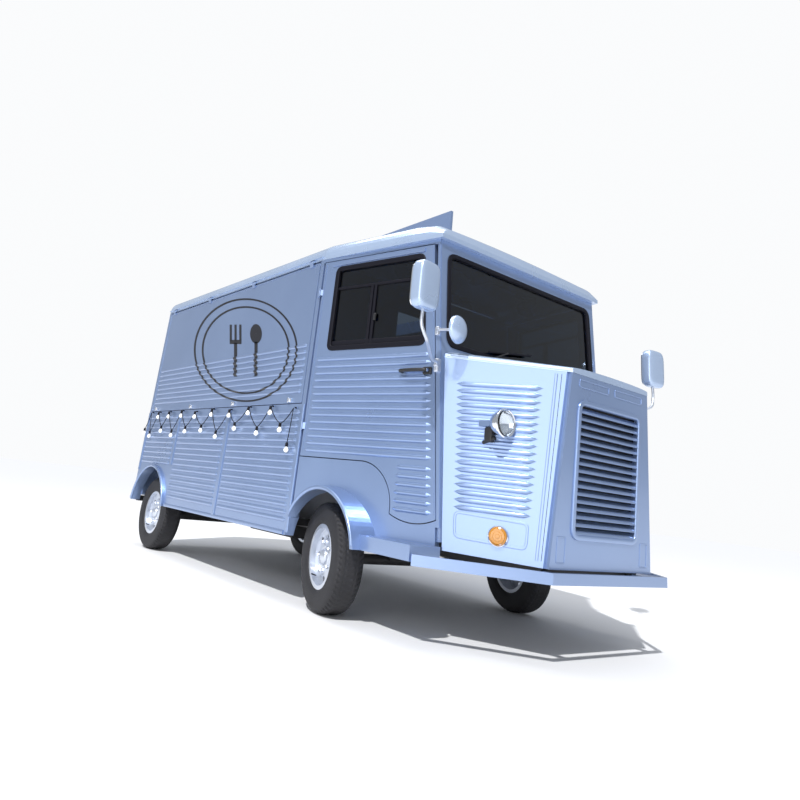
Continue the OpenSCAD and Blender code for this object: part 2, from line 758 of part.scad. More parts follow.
// The rearmost point of the bumper, at the inner corner of its slanted piece.
bumper_rear_y = bumper_end[1] + bumper_t * (bumper_end[0] - bumper_w / 2)
    / norm([bumper_end[0] - bumper_w / 2, bumper_end[1] - front_y]);

module front_bumper() in_frame() color(paint) {
    a = [bumper_w / 2, front_y];
    b = bumper_end;
    n = [a[1] - b[1], b[0] - a[0]] / norm(b - a) * bumper_t;    // inward normal
    m = a + [-bumper_t * tan(atan2(b[1] - a[1], b[0] - a[0]) / 2), bumper_t];
    translate([0, 0, bumper_top_z - bumper_h]) linear_extrude(bumper_h) polygon([
        [-b[0], b[1]], [-a[0], a[1]], a, b, b + n, m, [-m[0], m[1]], [-b[0] - n[0], b[1] + n[1]]]);
    for (s = [-1, 1])
        box([s * rail_x - 20, front_y + bumper_t - 1, rail_top_z - rail_h],
            [s * rail_x + 20, rail_front_y, bumper_top_z - 8]);
}

fender_t = 45;
step_z0 = 420;                         // lower side of the step box before the wheel
step_z1 = 500;
step_y1 = 440;                         // its rear end, at the wheel arch

// Where the fender's skin ends, along the door plane, behind the cab's front wall.
function fender_end(z) = along(screen_y(z) + front_wall_t + 1);

// The fender's skin on the door plane, before the door is cut from it.
module fender_outline(g) polygon([
    [12 - g, step_z0 - g], [fender_end(step_z0) + g, step_z0 - g],
    [fender_end(door_low_z) + g, door_low_z + g], [12 - g, door_low_z + g]]);

module front_arch(r) translate([front_arch_y, front_arch_z]) circle(r = r, $fn = 96);

module fender() color(paint) difference() {
    union() {
        difference() {
            door_frame() door_slab(0, fender_t) difference() {
                fender_outline(0);
                door_outline(panel_gap);
            }
            box([-half_w - 50, cab_len - 2, 0], [0, cab_len + 200, gutter_z]);
        }
        // the mudguard stands out as far as the side of the load body
        difference() {
            intersection() {
                plate_yz(-half_w - flare_out, -cab_half(front_arch_y - front_arch_r - flare_w))
                    front_arch(front_arch_r + flare_w);
                box([-half_w - 200, 0, step_z0], [0, cab_len - 2, door_low_z]);
            }
            door_frame() box([-10, fender_t, 0], [door_len, 600, gutter_z]);
        }
        // step box that carries on the line of the bumper
        translate([0, 0, step_z0]) linear_extrude(step_z1 - step_z0) polygon([
            [-bumper_end[0], bumper_rear_y + fit_gap], [-bumper_end[0] + 8, step_y1],
            [-cab_half(step_y1, 10), step_y1], [-cab_half(60, 10), 60],
            [-cab_half(0) - 8, 50], [-cab_half(0) - 8, bumper_rear_y + fit_gap]]);
    }
    plate_yz(-half_w - 50, 0) front_arch(front_arch_r);
}

module right_fender() in_frame() fender();
module left_fender() in_frame() left_side() fender();

// ---------------------------------------------------------------- lamps and mirrors

module front_lamps() in_frame() for (s = [0, 1]) mirror([s, 0, 0]) {
    color(steel) translate([headlamp_x, headlamp_back_y, headlamp_z]) rotate([90, 0, 0])
        rotate_extrude() polygon([[0, 0], [18, 0], [44, 18], [64, 50], [headlamp_r, 92],
                                  [headlamp_r, headlamp_len - 8], [headlamp_r - 8, headlamp_len],
                                  [0, headlamp_len + 8]]);
    color(amber) signal_place() translate([0, 0, pod_h])
        rotate_extrude() polygon([[0, 0], [signal_r, 0], [signal_r, 16], [signal_r - 10, 26], [0, 30]]);
}

mirror_w = 190;
mirror_h = 280;
mirror_x = mirror_reach - mirror_w / 2;
mirror_y = -130;
arm_z = 1500;                          // height of the clamp of a mirror arm
spot_z = 1715;                         // height of the clamp of the round mirror
spot_at = [-850, -70, spot_z - 20];
spot_r = 84;

module mirror_clamp(z) door_frame() box([corner_u(z) - 24, -22, z - 30], [corner_u(z) - 6, 0, z + 30]);

module side_mirrors() in_frame() for (s = [0, 1]) mirror([s, 0, 0]) {
    route = [[-cab_half(screen_y(arm_z)) - 22, screen_y(arm_z) + 12, arm_z],
             [-960, 10, arm_z + 8], [-mirror_x + 50, mirror_y, arm_z + 60],
             [-mirror_x, mirror_y, arm_z + 130], [-mirror_x, mirror_y, mirror_z]];
    color(dark) {
        mirror_clamp(arm_z);
        for (i = [1 : len(route) - 1]) rod(route[i - 1], route[i], 9);
    }
    color(paint_light) translate([-mirror_x, mirror_y, mirror_z]) rotate([90, 0, 0])
        linear_extrude(36, center = true) hull()
            for (x = [-1, 1], z = [-1, 1])
                translate([x * (mirror_w / 2 - 35), z * (mirror_h / 2 - 35)]) circle(r = 35);
    // the round mirror is on the kerb side only
    if (s == 0) color(dark) {
        mirror_clamp(spot_z);
        rod([-cab_half(screen_y(spot_z)) - 18, screen_y(spot_z) + 14, spot_z], spot_at, 7);
        translate(spot_at) rotate([90, 0, 0]) cylinder(r1 = spot_r, r2 = spot_r * 0.6, h = 40);
    }
}

// ---------------------------------------------------------------- inside

dash_y = screen_y(1520) + front_wall_t + 25;
dash_x = cab_half(dash_y, pillar_t + 12);
column_at = [380, dash_y + 245, 1380];
wheel_up = 160;                        // from the column's foot to the steering wheel

module dashboard() in_frame() color(dark) {
    plate_yz(-dash_x, dash_x) polygon([
        [dash_y, 1240], [dash_y + 275, 1300], [dash_y + 275, 1430],
        [dash_y + 185, 1500], [dash_y + 20, 1520]]);
    // steering column and wheel, in front of the driver on the left
    translate(column_at) rotate([-62, 0, 0]) {
        translate([0, 0, -60]) cylinder(r = 28, h = wheel_up + 60);
        translate([0, 0, wheel_up]) {
            rotate_extrude() translate([190, 0]) circle(r = 15);
            cylinder(r = 45, h = 24, center = true);
            for (a = [0, 120, 240]) rotate([0, 0, a]) translate([0, -14, -6]) cube([188, 28, 12]);
        }
    }
    // struts down to the floor
    for (x = [-520, 0, 600])
        box([x - 25, dash_y + 150, cab_floor_z], [x + 25, dash_y + 200, 1300]);
}

seat_y = cab_len - 100;                // foot of the seat backs

module cab_seats() in_frame() color(dark) for (x = [-400, 400]) {
    box([x - 190, seat_y - 400, cab_floor_z], [x + 190, seat_y, cab_floor_z + 240]);
    hull() for (y = [seat_y - 440, seat_y - 20], z = [cab_floor_z + 265, cab_floor_z + 330], q = [-210, 210])
        translate([x + q, y, z]) sphere(r = 30, $fn = 16);
    hull() for (z = [cab_floor_z + 330, cab_floor_z + 860], q = [-200, 200])
        translate([x + q, seat_y - 20 + (z - cab_floor_z - 330) * 0.1, z]) sphere(r = 35, $fn = 16);
}

unit_y0 = floor_front_y + 110;
unit_y1 = well_front_y - 40;
unit_z1 = belt_z + 10;
unit_d = 560;                          // depth of the worktops
bay_count = 3;
bay_w = (unit_y1 - unit_y0) / bay_count;

module kitchen_units() in_frame() color(steel) for (s = [0, 1]) mirror([s, 0, 0]) difference() {
    box([-inner_x, unit_y0, rail_top_z + floor_t], [-inner_x + unit_d, unit_y1, unit_z1]);
    for (i = [0 : bay_count - 1])
        box([-inner_x + 20, unit_y0 + bay_w * i + 15, rail_top_z + floor_t + 60],
            [-inner_x + unit_d + 1, unit_y0 + bay_w * (i + 1) - 15, unit_z1 - 40]);
}

module engine_block() in_frame() color(dark)
    box([-260, -nose_len + 105, rail_top_z], [260, -10, rail_top_z + 560]);

module fuel_tank() in_frame() color(dark)
    box([-rail_x + 60, 2150, rail_top_z - 210], [rail_x - 60, 2860, rail_top_z]);

// ---------------------------------------------------------------- moving panels

module side_hatch() {
    color(paint) {
        plate_yz(-half_w, -half_w + hatch_t) translate([hatch_y0, hatch_z0])
            square([hatch_y1 - hatch_y0, hatch_z1 - hatch_z0]);
        translate([-half_w, 0, 0]) rotate([0, 0, 90]) mirror([0, 1, 0])
            for (i = [0 : 7]) rib(hatch_y0 + 25, hatch_y1 - 25, belt_z + 90 + i * rib_pitch);
    }
    color(dark) for (y = hatch_hinge_ys) hatch_hinge_place(y) hinge_barrel([12, -36]);
}

module right_hatch() in_frame() side_hatch();
module left_hatch() in_frame() left_side() side_hatch();

module roof_hatch() in_frame()
    translate([lid_axis_x, 0, lid_axis_z]) rotate([0, -roof_hatch_open, 0])
        translate([-lid_axis_x, 0, -lid_axis_z]) {
            color(paint) box([roof_hatch_x, lid_y0, lid_z],
                             [roof_hatch_x + roof_hatch_w, lid_y1, lid_z + roof_hatch_t]);
            color(dark) for (y = lid_hinge_ys) lid_hinge_place(y) hinge_barrel([24, 4]);
        }

module tailgate() in_frame() {
    color(paint) plate_xz(rear_y - rear_door_t, rear_y)
        translate([-rear_open_x + panel_gap, belt_z + panel_gap])
            square([2 * (rear_open_x - panel_gap), rear_open_z1 - belt_z - 2 * panel_gap]);
    color(dark) for (x = tailgate_hinge_xs) tailgate_hinge_place(x) hinge_barrel([-12, -34]);
}

module rear_door() {
    color(paint) plate_xz(rear_y - rear_door_t, rear_y)
        translate([-rear_open_x + panel_gap, rear_open_z0 + panel_gap])
            square([rear_open_x - panel_gap * 1.5, belt_z - rear_open_z0 - panel_gap]);
    color(dark) for (z = rear_hinge_zs) rear_hinge_place(z) hinge_barrel([26, -12]);
}

module rear_right_door() in_frame() rear_door();
module rear_left_door() in_frame() left_side() rear_door();

// ---------------------------------------------------------------- axles and wheels

spindle_r = 30;
king_r = 15;
boss_r = 34;
boss_h = 82;
lug_h = 24;
lug_gap = 0.5;
web_x = boss_r + 6;                    // the knuckle's web passes the axle's boss
web_t = 18;
spindle_over = 50;                     // how far a spindle reaches past the wheel's middle

module front_axle() in_frame() color(dark) {
    for (s = [0, 1]) mirror([s, 0, 0]) translate([-king_x, front_axle_y, tyre_r - boss_h / 2])
        difference() {
            cylinder(r = boss_r, h = boss_h);
            translate([0, 0, -1]) cylinder(r = king_r + fit_gap, h = boss_h + 2);
        }
    difference() {
        translate([-king_x, front_axle_y, tyre_r]) rotate([0, 90, 0])
            cylinder(r = 32, h = 2 * king_x);
        for (s = [-1, 1]) translate([s * king_x, front_axle_y, tyre_r - boss_h / 2])
            cylinder(r = boss_r - 2, h = boss_h);
    }
    for (s = [-1, 1])
        box([s * rail_x - 25, front_axle_y - 45, tyre_r],
            [s * rail_x + 25, front_axle_y + 45, rail_top_z - rail_h]);
}

module rear_axle() in_frame() color(dark) {
    translate([-king_x, rear_axle_y, tyre_r]) rotate([0, 90, 0]) cylinder(r = 45, h = 2 * king_x);
    translate([-wheel_x - spindle_over, rear_axle_y, tyre_r]) rotate([0, 90, 0])
        cylinder(r = spindle_r, h = 2 * (wheel_x + spindle_over));
    for (s = [-1, 1]) {
        translate([s * king_x, rear_axle_y, tyre_r]) rotate([0, 90, 0])
            cylinder(r = 110, h = 44, center = true);
        box([s * rail_x - 25, rear_axle_y - 60, tyre_r],
            [s * rail_x + 25, rear_axle_y + 60, rail_top_z - rail_h]);
    }
}

// A knuckle in its own frame: Z is the steering pivot and -X points outboard.
module knuckle() color(dark) {
    out = wheel_x - king_x;
    for (z = [-boss_h / 2 - lug_h - lug_gap, boss_h / 2 + lug_gap]) translate([0, 0, z]) {
        cylinder(r = boss_r, h = lug_h);
        box([-web_x - web_t, -boss_r, 0], [0, boss_r, lug_h]);
    }
    translate([0, 0, -boss_h / 2 - lug_h]) cylinder(r = king_r, h = boss_h + 2 * lug_h);
    box([-web_x - web_t, -boss_r, -boss_h / 2 - lug_h], [-web_x, boss_r, boss_h / 2 + lug_h]);
    translate([-out - spindle_over, 0, 0]) rotate([0, 90, 0])
        cylinder(r = spindle_r, h = out + spindle_over - web_x);
    // steering arm
    box([-26, boss_r - 8, -boss_h / 2 - lug_h], [6, boss_r + 110, -boss_h / 2 - lug_gap - 6]);
}

// Puts a knuckle, or a wheel about it, at its front corner; both front wheels
// stand turned the same way.
module right_corner() {
    translate([-king_x, front_axle_y, tyre_r]) rotate([0, 0, -steer_rest]) children();
}
module left_corner() {
    translate([king_x, front_axle_y, tyre_r]) rotate([0, 0, -steer_rest]) mirror([1, 0, 0]) children();
}
module front_wheel_place() { translate([king_x - wheel_x, 0, 0]) children(); }
module rear_wheel_place() { translate([-wheel_x, rear_axle_y, tyre_r]) children(); }

module right_knuckle() in_frame() right_corner() knuckle();
module left_knuckle() in_frame() left_corner() knuckle();

seat_r = 177.5;                        // radius of the rim where the tyre sits
rim_w = 150;
flange_t = 6;
rim_wall = 10;
bead_w = rim_w - 2 * flange_t - 2 * fit_gap;
hub_r = 60;
slot_count = 8;

// The wheel parts turn about local X, and -X points outboard.
module turned() rotate([0, -90, 0]) rotate_extrude($fn = 120) children();

module tyre() color(dark) turned() {
    b = bead_w / 2;
    w = tyre_w / 2;
    half = [[seat_r + fit_gap, b], [rim_r + 3, b], [rim_r + 7, w - 14], [rim_r + 45, w],
            [tyre_r - 40, w - 2], [tyre_r - 10, w - 14], [tyre_r, w - 32]];
    polygon(concat(half, [for (i = [len(half) - 1 : -1 : 0]) [half[i][0], -half[i][1]]]));
}

module rim() color(steel) difference() {
    r = seat_r - rim_wall;
    w = rim_w / 2;
    turned() polygon([
        [spindle_r + fit_gap, -18], [spindle_r + fit_gap, 48], [hub_r, 48], [hub_r + 6, 42],
        [130, 32], [r, 40], [r, w], [rim_r, w], [rim_r, w - flange_t], [seat_r, w - flange_t],
        [seat_r, -w + flange_t], [rim_r, -w + flange_t], [rim_r, -w], [r, -w], [r, 30],
        [130, 22], [hub_r + 6, 32], [hub_r, 26], [hub_r, -18]]);
    for (i = [0 : slot_count - 1]) rotate([i * 360 / slot_count, 0, 0])
        translate([-60, 0, 128]) rotate([0, 90, 0]) cylinder(r = 15, h = 60);
}

module front_right_tyre() in_frame() right_corner() front_wheel_place() tyre();
module front_right_rim() in_frame() right_corner() front_wheel_place() rim();
module front_left_tyre() in_frame() left_corner() front_wheel_place() tyre();
module front_left_rim() in_frame() left_corner() front_wheel_place() rim();
module rear_right_tyre() in_frame() rear_wheel_place() tyre();
module rear_right_rim() in_frame() rear_wheel_place() rim();
module rear_left_tyre() in_frame() left_side() rear_wheel_place() tyre();
module rear_left_rim() in_frame() left_side() rear_wheel_place() rim();

// ---------------------------------------------------------------- festoon lights

// The cable's route along the right side: distances behind the windscreen foot
// and below the belt line.  Its high points are held by pins in the wall, and a
// lamp hangs from every point that is not bare.
lights = [[4060, -170], [3960, -15], [3905, -200], [3765, -15], [3625, -150], [3495, -15],
          [3350, -190], [3195, -12], [3045, -155], [2890, -25], [2710, -145], [2550, -12],
          [2405, -195], [2220, -25], [2090, -130], [1900, -12], [1720, -165], [1560, -15],
          [1390, -140], [1240, -35], [1262, -275]];
pinned = [for (i = [1 : 2 : 19]) i];
bare = [1, 19];                        // high points with no lamp
lights_x = half_w + rib_h + bulb_r + 2;
cable_sides = 8;
pin_head_r = 5;
socket_r = 11;
socket_h = 24;
neck_h = 5;

function unit(v) = v / norm(v);
function is_bare(i) = len([for (k = bare) if (k == i) k]) > 0;
function light_point(i) = [lights[i][0], belt_z + lights[i][1]];

// The cable's ring of points at one place of the route: it stands on the line
// that halves the corner, stretched so that the cable keeps its thickness.
function cable_ring(i) = let (
    p = light_point(i),
    a = unit(i > 0 ? p - light_point(i - 1) : light_point(1) - p),
    b = unit(i < len(lights) - 1 ? light_point(i + 1) - p : p - light_point(i - 1)),
    t = unit(a + b),
    k = cable_r / max(0.6, t * a)
) [for (j = [0 : cable_sides - 1]) let (q = j * 360 / cable_sides)
    [-lights_x + cable_r * cos(q), p[0] - t[1] * k * sin(q), p[1] + t[0] * k * sin(q)]];

module festoon_cable() in_frame() color(dark) {
    n = len(lights);
    m = cable_sides;
    polyhedron(
        points = [for (i = [0 : n - 1], p = cable_ring(i)) p],
        faces = concat(
            [[for (j = [m - 1 : -1 : 0]) j]],
            [for (i = [0 : n - 2], j = [0 : m - 1])
                [i * m + j, i * m + (j + 1) % m, i * m + m + (j + 1) % m, i * m + m + j]],
            [[for (j = [0 : m - 1]) (n - 1) * m + j]]));
    for (i = [0 : n - 1]) if (!is_bare(i))
        translate([-lights_x, light_point(i)[0], light_point(i)[1] - socket_h])
            cylinder(r = socket_r, h = socket_h);
}

module festoon_bulbs() in_frame() color([1, 1, 0.95])
    for (i = [0 : len(lights) - 1]) if (!is_bare(i))
        translate([-lights_x, light_point(i)[0], light_point(i)[1] - socket_h - fit_gap]) {
            translate([0, 0, -neck_h]) cylinder(r = 9, h = neck_h);
            translate([0, 0, -bulb_r]) sphere(r = bulb_r);
        }

module light_pins() for (i = pinned)
    translate([-lights_x + cable_r + fit_gap, light_point(i)[0], light_point(i)[1] + pin_head_r + fit_gap])
        rotate([0, 90, 0]) cylinder(r = pin_head_r, h = lights_x - cable_r - half_w);

// ---------------------------------------------------------------- the nodes

chassis_frame();
floor_pan();
right_side_wall();
left_side_wall();
rear_frame();
roof_panel();
cab_frame();
bulkhead();
windscreen();
nose_right_panel();
nose_left_panel();
grille_panel();
hood_panel();
front_bumper();
right_fender();
left_fender();
front_lamps();
side_mirrors();
dashboard();
cab_seats();
kitchen_units();
engine_block();
fuel_tank();
front_axle();
rear_axle();
tail_lamps();
rear_step();
festoon_cable();
festoon_bulbs();
right_door();
right_door_glass();
left_door();
left_door_glass();
right_hatch();
left_hatch();
roof_hatch();
tailgate();
rear_right_door();
rear_left_door();
right_knuckle();
left_knuckle();
front_right_tyre();
front_right_rim();
front_left_tyre();
front_left_rim();
rear_right_tyre();
rear_right_rim();
rear_left_tyre();
rear_left_rim();
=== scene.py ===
"""Looks of a small ribbed-sheet food truck: finishes, trim, glass, lamps, tyres and seats.

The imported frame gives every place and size.  New pieces are surfaces worked out
with numpy on grids of two parameters, joined into one mesh for each piece.
"""

import json
import logging
import math
from dataclasses import dataclass, field
from enum import Enum

import bmesh
import bpy
import numpy as np
from mathutils import Matrix, Vector

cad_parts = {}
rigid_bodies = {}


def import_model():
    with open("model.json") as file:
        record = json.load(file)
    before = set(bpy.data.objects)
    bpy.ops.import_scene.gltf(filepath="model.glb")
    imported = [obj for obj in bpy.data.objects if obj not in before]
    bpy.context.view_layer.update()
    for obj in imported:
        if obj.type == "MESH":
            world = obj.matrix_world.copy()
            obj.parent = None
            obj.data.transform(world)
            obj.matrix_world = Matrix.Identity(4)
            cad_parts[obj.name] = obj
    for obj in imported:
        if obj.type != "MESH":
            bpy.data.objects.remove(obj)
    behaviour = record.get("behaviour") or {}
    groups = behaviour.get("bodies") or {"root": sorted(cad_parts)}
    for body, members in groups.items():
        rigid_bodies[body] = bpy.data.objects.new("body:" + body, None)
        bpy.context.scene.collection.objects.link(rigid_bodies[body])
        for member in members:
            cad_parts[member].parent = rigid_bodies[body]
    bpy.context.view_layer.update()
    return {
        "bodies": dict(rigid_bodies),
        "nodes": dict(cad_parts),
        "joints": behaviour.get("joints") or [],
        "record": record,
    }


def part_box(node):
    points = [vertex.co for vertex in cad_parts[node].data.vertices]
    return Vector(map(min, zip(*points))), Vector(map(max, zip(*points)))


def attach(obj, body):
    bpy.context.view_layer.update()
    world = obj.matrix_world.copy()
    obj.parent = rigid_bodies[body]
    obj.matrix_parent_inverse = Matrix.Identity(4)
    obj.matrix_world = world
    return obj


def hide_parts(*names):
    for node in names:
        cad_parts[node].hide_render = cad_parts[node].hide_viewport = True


log = logging.getLogger("food_truck")

MERGE_DISTANCE = 1e-6
THIN_EDGE = 1e-7
CREASE_ANGLE = math.radians(38)

Array = np.ndarray
Surface = tuple[Array, Array]

X_AXIS = np.array([1.0, 0.0, 0.0])
Z_AXIS = np.array([0.0, 0.0, 1.0])


# ------------------------------------------------------------------ surfaces


def unit(v: Array) -> Array:
    """Scales each vector in the last axis to length one."""
    return v / np.maximum(np.linalg.norm(v, axis=-1, keepdims=True), 1e-12)


def grid_surface(points: Array, close_u: bool = False, close_v: bool = False) -> Surface:
    """Turns a grid of points into quads: face (i, j) joins four neighbours.

    Args:
        points: Array of shape (n, m, 3).
        close_u: Whether the last row joins the first one.
        close_v: Whether the last column joins the first one.

    Returns:
        The points as (n * m, 3) and the faces as (f, 4).
    """
    n, m = points.shape[:2]
    i, j = np.meshgrid(np.arange(n if close_u else n - 1), np.arange(m if close_v else m - 1),
                       indexing="ij")
    i2, j2 = (i + 1) % n, (j + 1) % m
    faces = np.stack([i * m + j, i2 * m + j, i2 * m + j2, i * m + j2], axis=-1)
    return points.reshape(-1, 3), faces.reshape(-1, 4)


def join(surfaces: list[Surface]) -> Surface:
    """Puts several surfaces into one list of points and one of faces.

    Args:
        surfaces: The surfaces, each with its own points and faces.

    Returns:
        One surface whose faces count through all the points.
    """
    offsets = np.cumsum([0] + [len(p) for p, _ in surfaces[:-1]])
    points = np.concatenate([p for p, _ in surfaces])
    faces = np.concatenate([f + o for (_, f), o in zip(surfaces, offsets)])
    return points, faces


def bar(path: Array, normal: Array, width: float, height: float, closed: bool = False,
        sink: float = 0.001) -> Surface:
    """Carries a flat bar with rounded shoulders along a path on a surface.

    The section is given across the path (a) and out of the surface (b); each
    path point p becomes p + a * side + b * normal, where side is normal x tangent.

    Args:
        path: Path points, shape (n, 3).
        normal: One normal, or one for each path point.
        width: Whole width of the bar.
        height: How far it stands out.
        closed: Whether the path is a loop.
        sink: How deep the bar starts below the surface.

    Returns:
        The bar as a closed surface.
    """
    if closed:
        tangent = unit(np.roll(path, -1, 0) - np.roll(path, 1, 0))
    else:
        tangent = unit(np.gradient(path, axis=0))
    n = unit(np.broadcast_to(normal, path.shape))
    side = unit(np.cross(n, tangent))
    w, h = width / 2, height
    section = np.array([[-w, -sink], [-w, h * 0.55], [-w * 0.86, h * 0.88], [-w * 0.6, h],
                        [w * 0.6, h], [w * 0.86, h * 0.88], [w, h * 0.55], [w, -sink]])
    points = (path[:, None] + section[None, :, :1] * side[:, None]
              + section[None, :, 1:] * n[:, None])
    if not closed:
        ends = [points.mean(axis=1, keepdims=True)[k] + 0 * points[k] for k in (0, -1)]
        points = np.concatenate([ends[0][None], points, ends[1][None]])
    return grid_surface(points, closed, True)


def tube(path: Array, radius: float | Array, sides: int = 10) -> Surface:
    """Carries a circle along a path; the ends close to a point.

    Args:
        path: Path points, shape (n, 3).
        radius: One radius, or one for each path point.
        sides: Points round the circle.

    Returns:
        The tube as a closed surface.
    """
    tangent = unit(np.gradient(path, axis=0))
    spread = np.abs(tangent).mean(axis=0)
    up = np.eye(3)[int(np.argmin(spread))]
    a = unit(np.cross(tangent, up))
    b = np.cross(tangent, a)
    r = np.broadcast_to(radius, (len(path),))[:, None, None]
    q = np.linspace(0, 2 * np.pi, sides, endpoint=False)[None, :, None]
    points = path[:, None] + r * (np.cos(q) * a[:, None] + np.sin(q) * b[:, None])
    caps = [path[k] + 0 * points[k] for k in (0, -1)]
    return grid_surface(np.concatenate([caps[0][None], points, caps[1][None]]), False, True)


def revolve(profile: Array, centre: Array, axis: Array, steps: int = 48) -> Surface:
    """Turns a profile of (radius, distance along the axis) about an axis.

    Args:
        profile: Profile points, shape (n, 2).
        centre: Point on the axis where the distance is 0.
        axis: Direction of the axis.
        steps: Points round the axis.

    Returns:
        The surface; it is closed where the profile starts and ends on the axis.
    """
    axis = unit(np.asarray(axis, float))
    a = unit(np.cross(axis, Z_AXIS if abs(axis[2]) < 0.9 else X_AXIS))
    b = np.cross(axis, a)
    q = np.linspace(0, 2 * np.pi, steps, endpoint=False)[None, :, None]
    r, h = profile[:, None, :1], profile[:, None, 1:]
    points = centre + h * axis + r * (np.cos(q) * a + np.sin(q) * b)
    return grid_surface(points, False, True)


def pillow(centre: Array, size: Array, axes: Array | None = None, square: float = 0.35,
           steps: int = 24) -> Surface:
    """A box with round edges: each coordinate is a power of a sine or a cosine.

    Args:
        centre: Middle of the box.
        size: Whole size along its three axes.
        axes: Rows are the box's axes; the world's when left out.
        square: Power; 1 gives an ellipsoid and small values a box.
        steps: Points round the box.

    Returns:
        The closed surface.
    """
    axes = np.eye(3) if axes is None else axes
    u = np.linspace(-np.pi / 2, np.pi / 2, steps // 2 + 1)[:, None]
    v = np.linspace(-np.pi, np.pi, steps, endpoint=False)[None, :]

    def power(x: Array) -> Array:
        """Keeps the sign of x and raises its size to the power."""
        return np.sign(x) * np.abs(x) ** square

    local = np.stack([power(np.cos(u)) * power(np.cos(v)), power(np.cos(u)) * power(np.sin(v)),
                      power(np.sin(u)) + 0 * v], axis=-1) * np.asarray(size) / 2
    return grid_surface(centre + local @ axes, False, True)


def domes(points: Array, normal: Array, radius: float) -> Surface:
    """Small rivet heads: a ring, a smaller ring and a top for each point.

    Args:
        points: Middles of the heads, shape (n, 3).
        normal: Direction in which the heads stand out.
        radius: Radius of a head at its foot.

    Returns:
        All the heads as one surface.
    """
    n = unit(np.asarray(normal, float))
    a = unit(np.cross(n, Z_AXIS if abs(n[2]) < 0.9 else X_AXIS))
    b = np.cross(n, a)
    q = np.linspace(0, 2 * np.pi, 8, endpoint=False)[None, :, None]
    rings = [points[:, None] + radius * r * (np.cos(q) * a + np.sin(q) * b) + n * radius * h
             for r, h in ((1.0, -0.1), (0.75, 0.45), (0.001, 0.6))]
    return join([grid_surface(np.stack([ring[k] for ring in rings]), False, True)
                 for k in range(len(points))])


def rounded_loop(corners: Array, radius: float, steps: int = 6) -> Array:
    """Rounds each corner of a polygon by a curve between two points on its sides.

    Each corner c is replaced by (1-t)^2 p + 2t(1-t) c + t^2 q, where p and q lie
    one radius from c towards its neighbours.

    Args:
        corners: Corners of the polygon in order, shape (n, 3).
        radius: Distance from a corner to where its curve starts.
        steps: Points on each curve.

    Returns:
        The points of the rounded loop, shape (n * steps, 3).
    """
    before = corners + unit(np.roll(corners, 1, 0) - corners) * radius
    after = corners + unit(np.roll(corners, -1, 0) - corners) * radius
    t = np.linspace(0, 1, steps)[None, :, None]
    curve = ((1 - t) ** 2 * before[:, None] + 2 * t * (1 - t) * corners[:, None]
             + t ** 2 * after[:, None])
    return curve.reshape(-1, 3)


def line(a: Array, b: Array, steps: int = 2) -> Array:
    """Evenly spaced points from a to b."""
    t = np.linspace(0, 1, steps)[:, None]
    return np.asarray(a) * (1 - t) + np.asarray(b) * t


def smooth_path(points: Array, steps: int = 8) -> Array:
    """A Catmull-Rom curve through the points, with a number of steps between two.

    Args:
        points: Points that the curve goes through, shape (n, 3).
        steps: Points from each one up to the next.

    Returns:
        The points of the curve, with the last one kept.
    """
    p = np.concatenate([[2 * points[0] - points[1]], points, [2 * points[-1] - points[-2]]])
    t = np.linspace(0, 1, steps, endpoint=False)[None, :, None]
    a, b, c, d = (p[k:len(p) - 3 + k, None] for k in range(4))
    curve = 0.5 * (2 * b + (c - a) * t + (2 * a - 5 * b + 4 * c - d) * t ** 2
                   + (3 * b - a - 3 * c + d) * t ** 3)
    return np.concatenate([curve.reshape(-1, 3), points[-1:]])


def pressed_rib(a: Array, b: Array, normal: Array, radius: float, height: float,
                tip: float) -> Surface:
    """A pressed rib from a to b: a round back that runs out to a point at both ends.

    Across, the height is h * sqrt(1 - v^2); along, width and height fall to zero
    over the length of a tip.

    Args:
        a: Start of the rib.
        b: End of the rib.
        normal: Direction in which the rib stands out.
        radius: Half width of the rib.
        height: How far the rib stands out.
        tip: Length over which each end runs out.

    Returns:
        The rib as an open surface.
    """
    length = float(np.linalg.norm(b - a))
    k = np.concatenate([[0.0, tip * 0.5], np.linspace(tip, length - tip, 6),
                        [length - tip * 0.5, length]])
    grow = np.clip(np.minimum(k, length - k) / tip, 0.0, 1.0)[:, None]
    v = np.linspace(-1, 1, 9)[None, :]
    along = unit(b - a)
    side = np.cross(unit(normal), along)
    out = height * grow * np.sqrt(1 - v ** 2) - 0.0006
    points = (a + k[:, None, None] * along + (v * radius * grow)[..., None] * side
              + out[..., None] * unit(normal))
    return grid_surface(points)


# ------------------------------------------------------------------ node groups and finishes


def new_group(name: str, inputs: dict[str, float], outputs: dict[str, str]) -> bpy.types.NodeTree:
    """Makes an empty shader group with float inputs and the outputs asked for.

    Args:
        name: Name of the group.
        inputs: Start value of each float input.
        outputs: Socket type of each output.

    Returns:
        The new group.
    """
    tree = bpy.data.node_groups.new(name, "ShaderNodeTree")
    for label, value in inputs.items():
        socket = tree.interface.new_socket(label, in_out="INPUT", socket_type="NodeSocketFloat")
        socket.default_value = value
    for label, kind in outputs.items():
        tree.interface.new_socket(label, in_out="OUTPUT", socket_type=kind)
    return tree


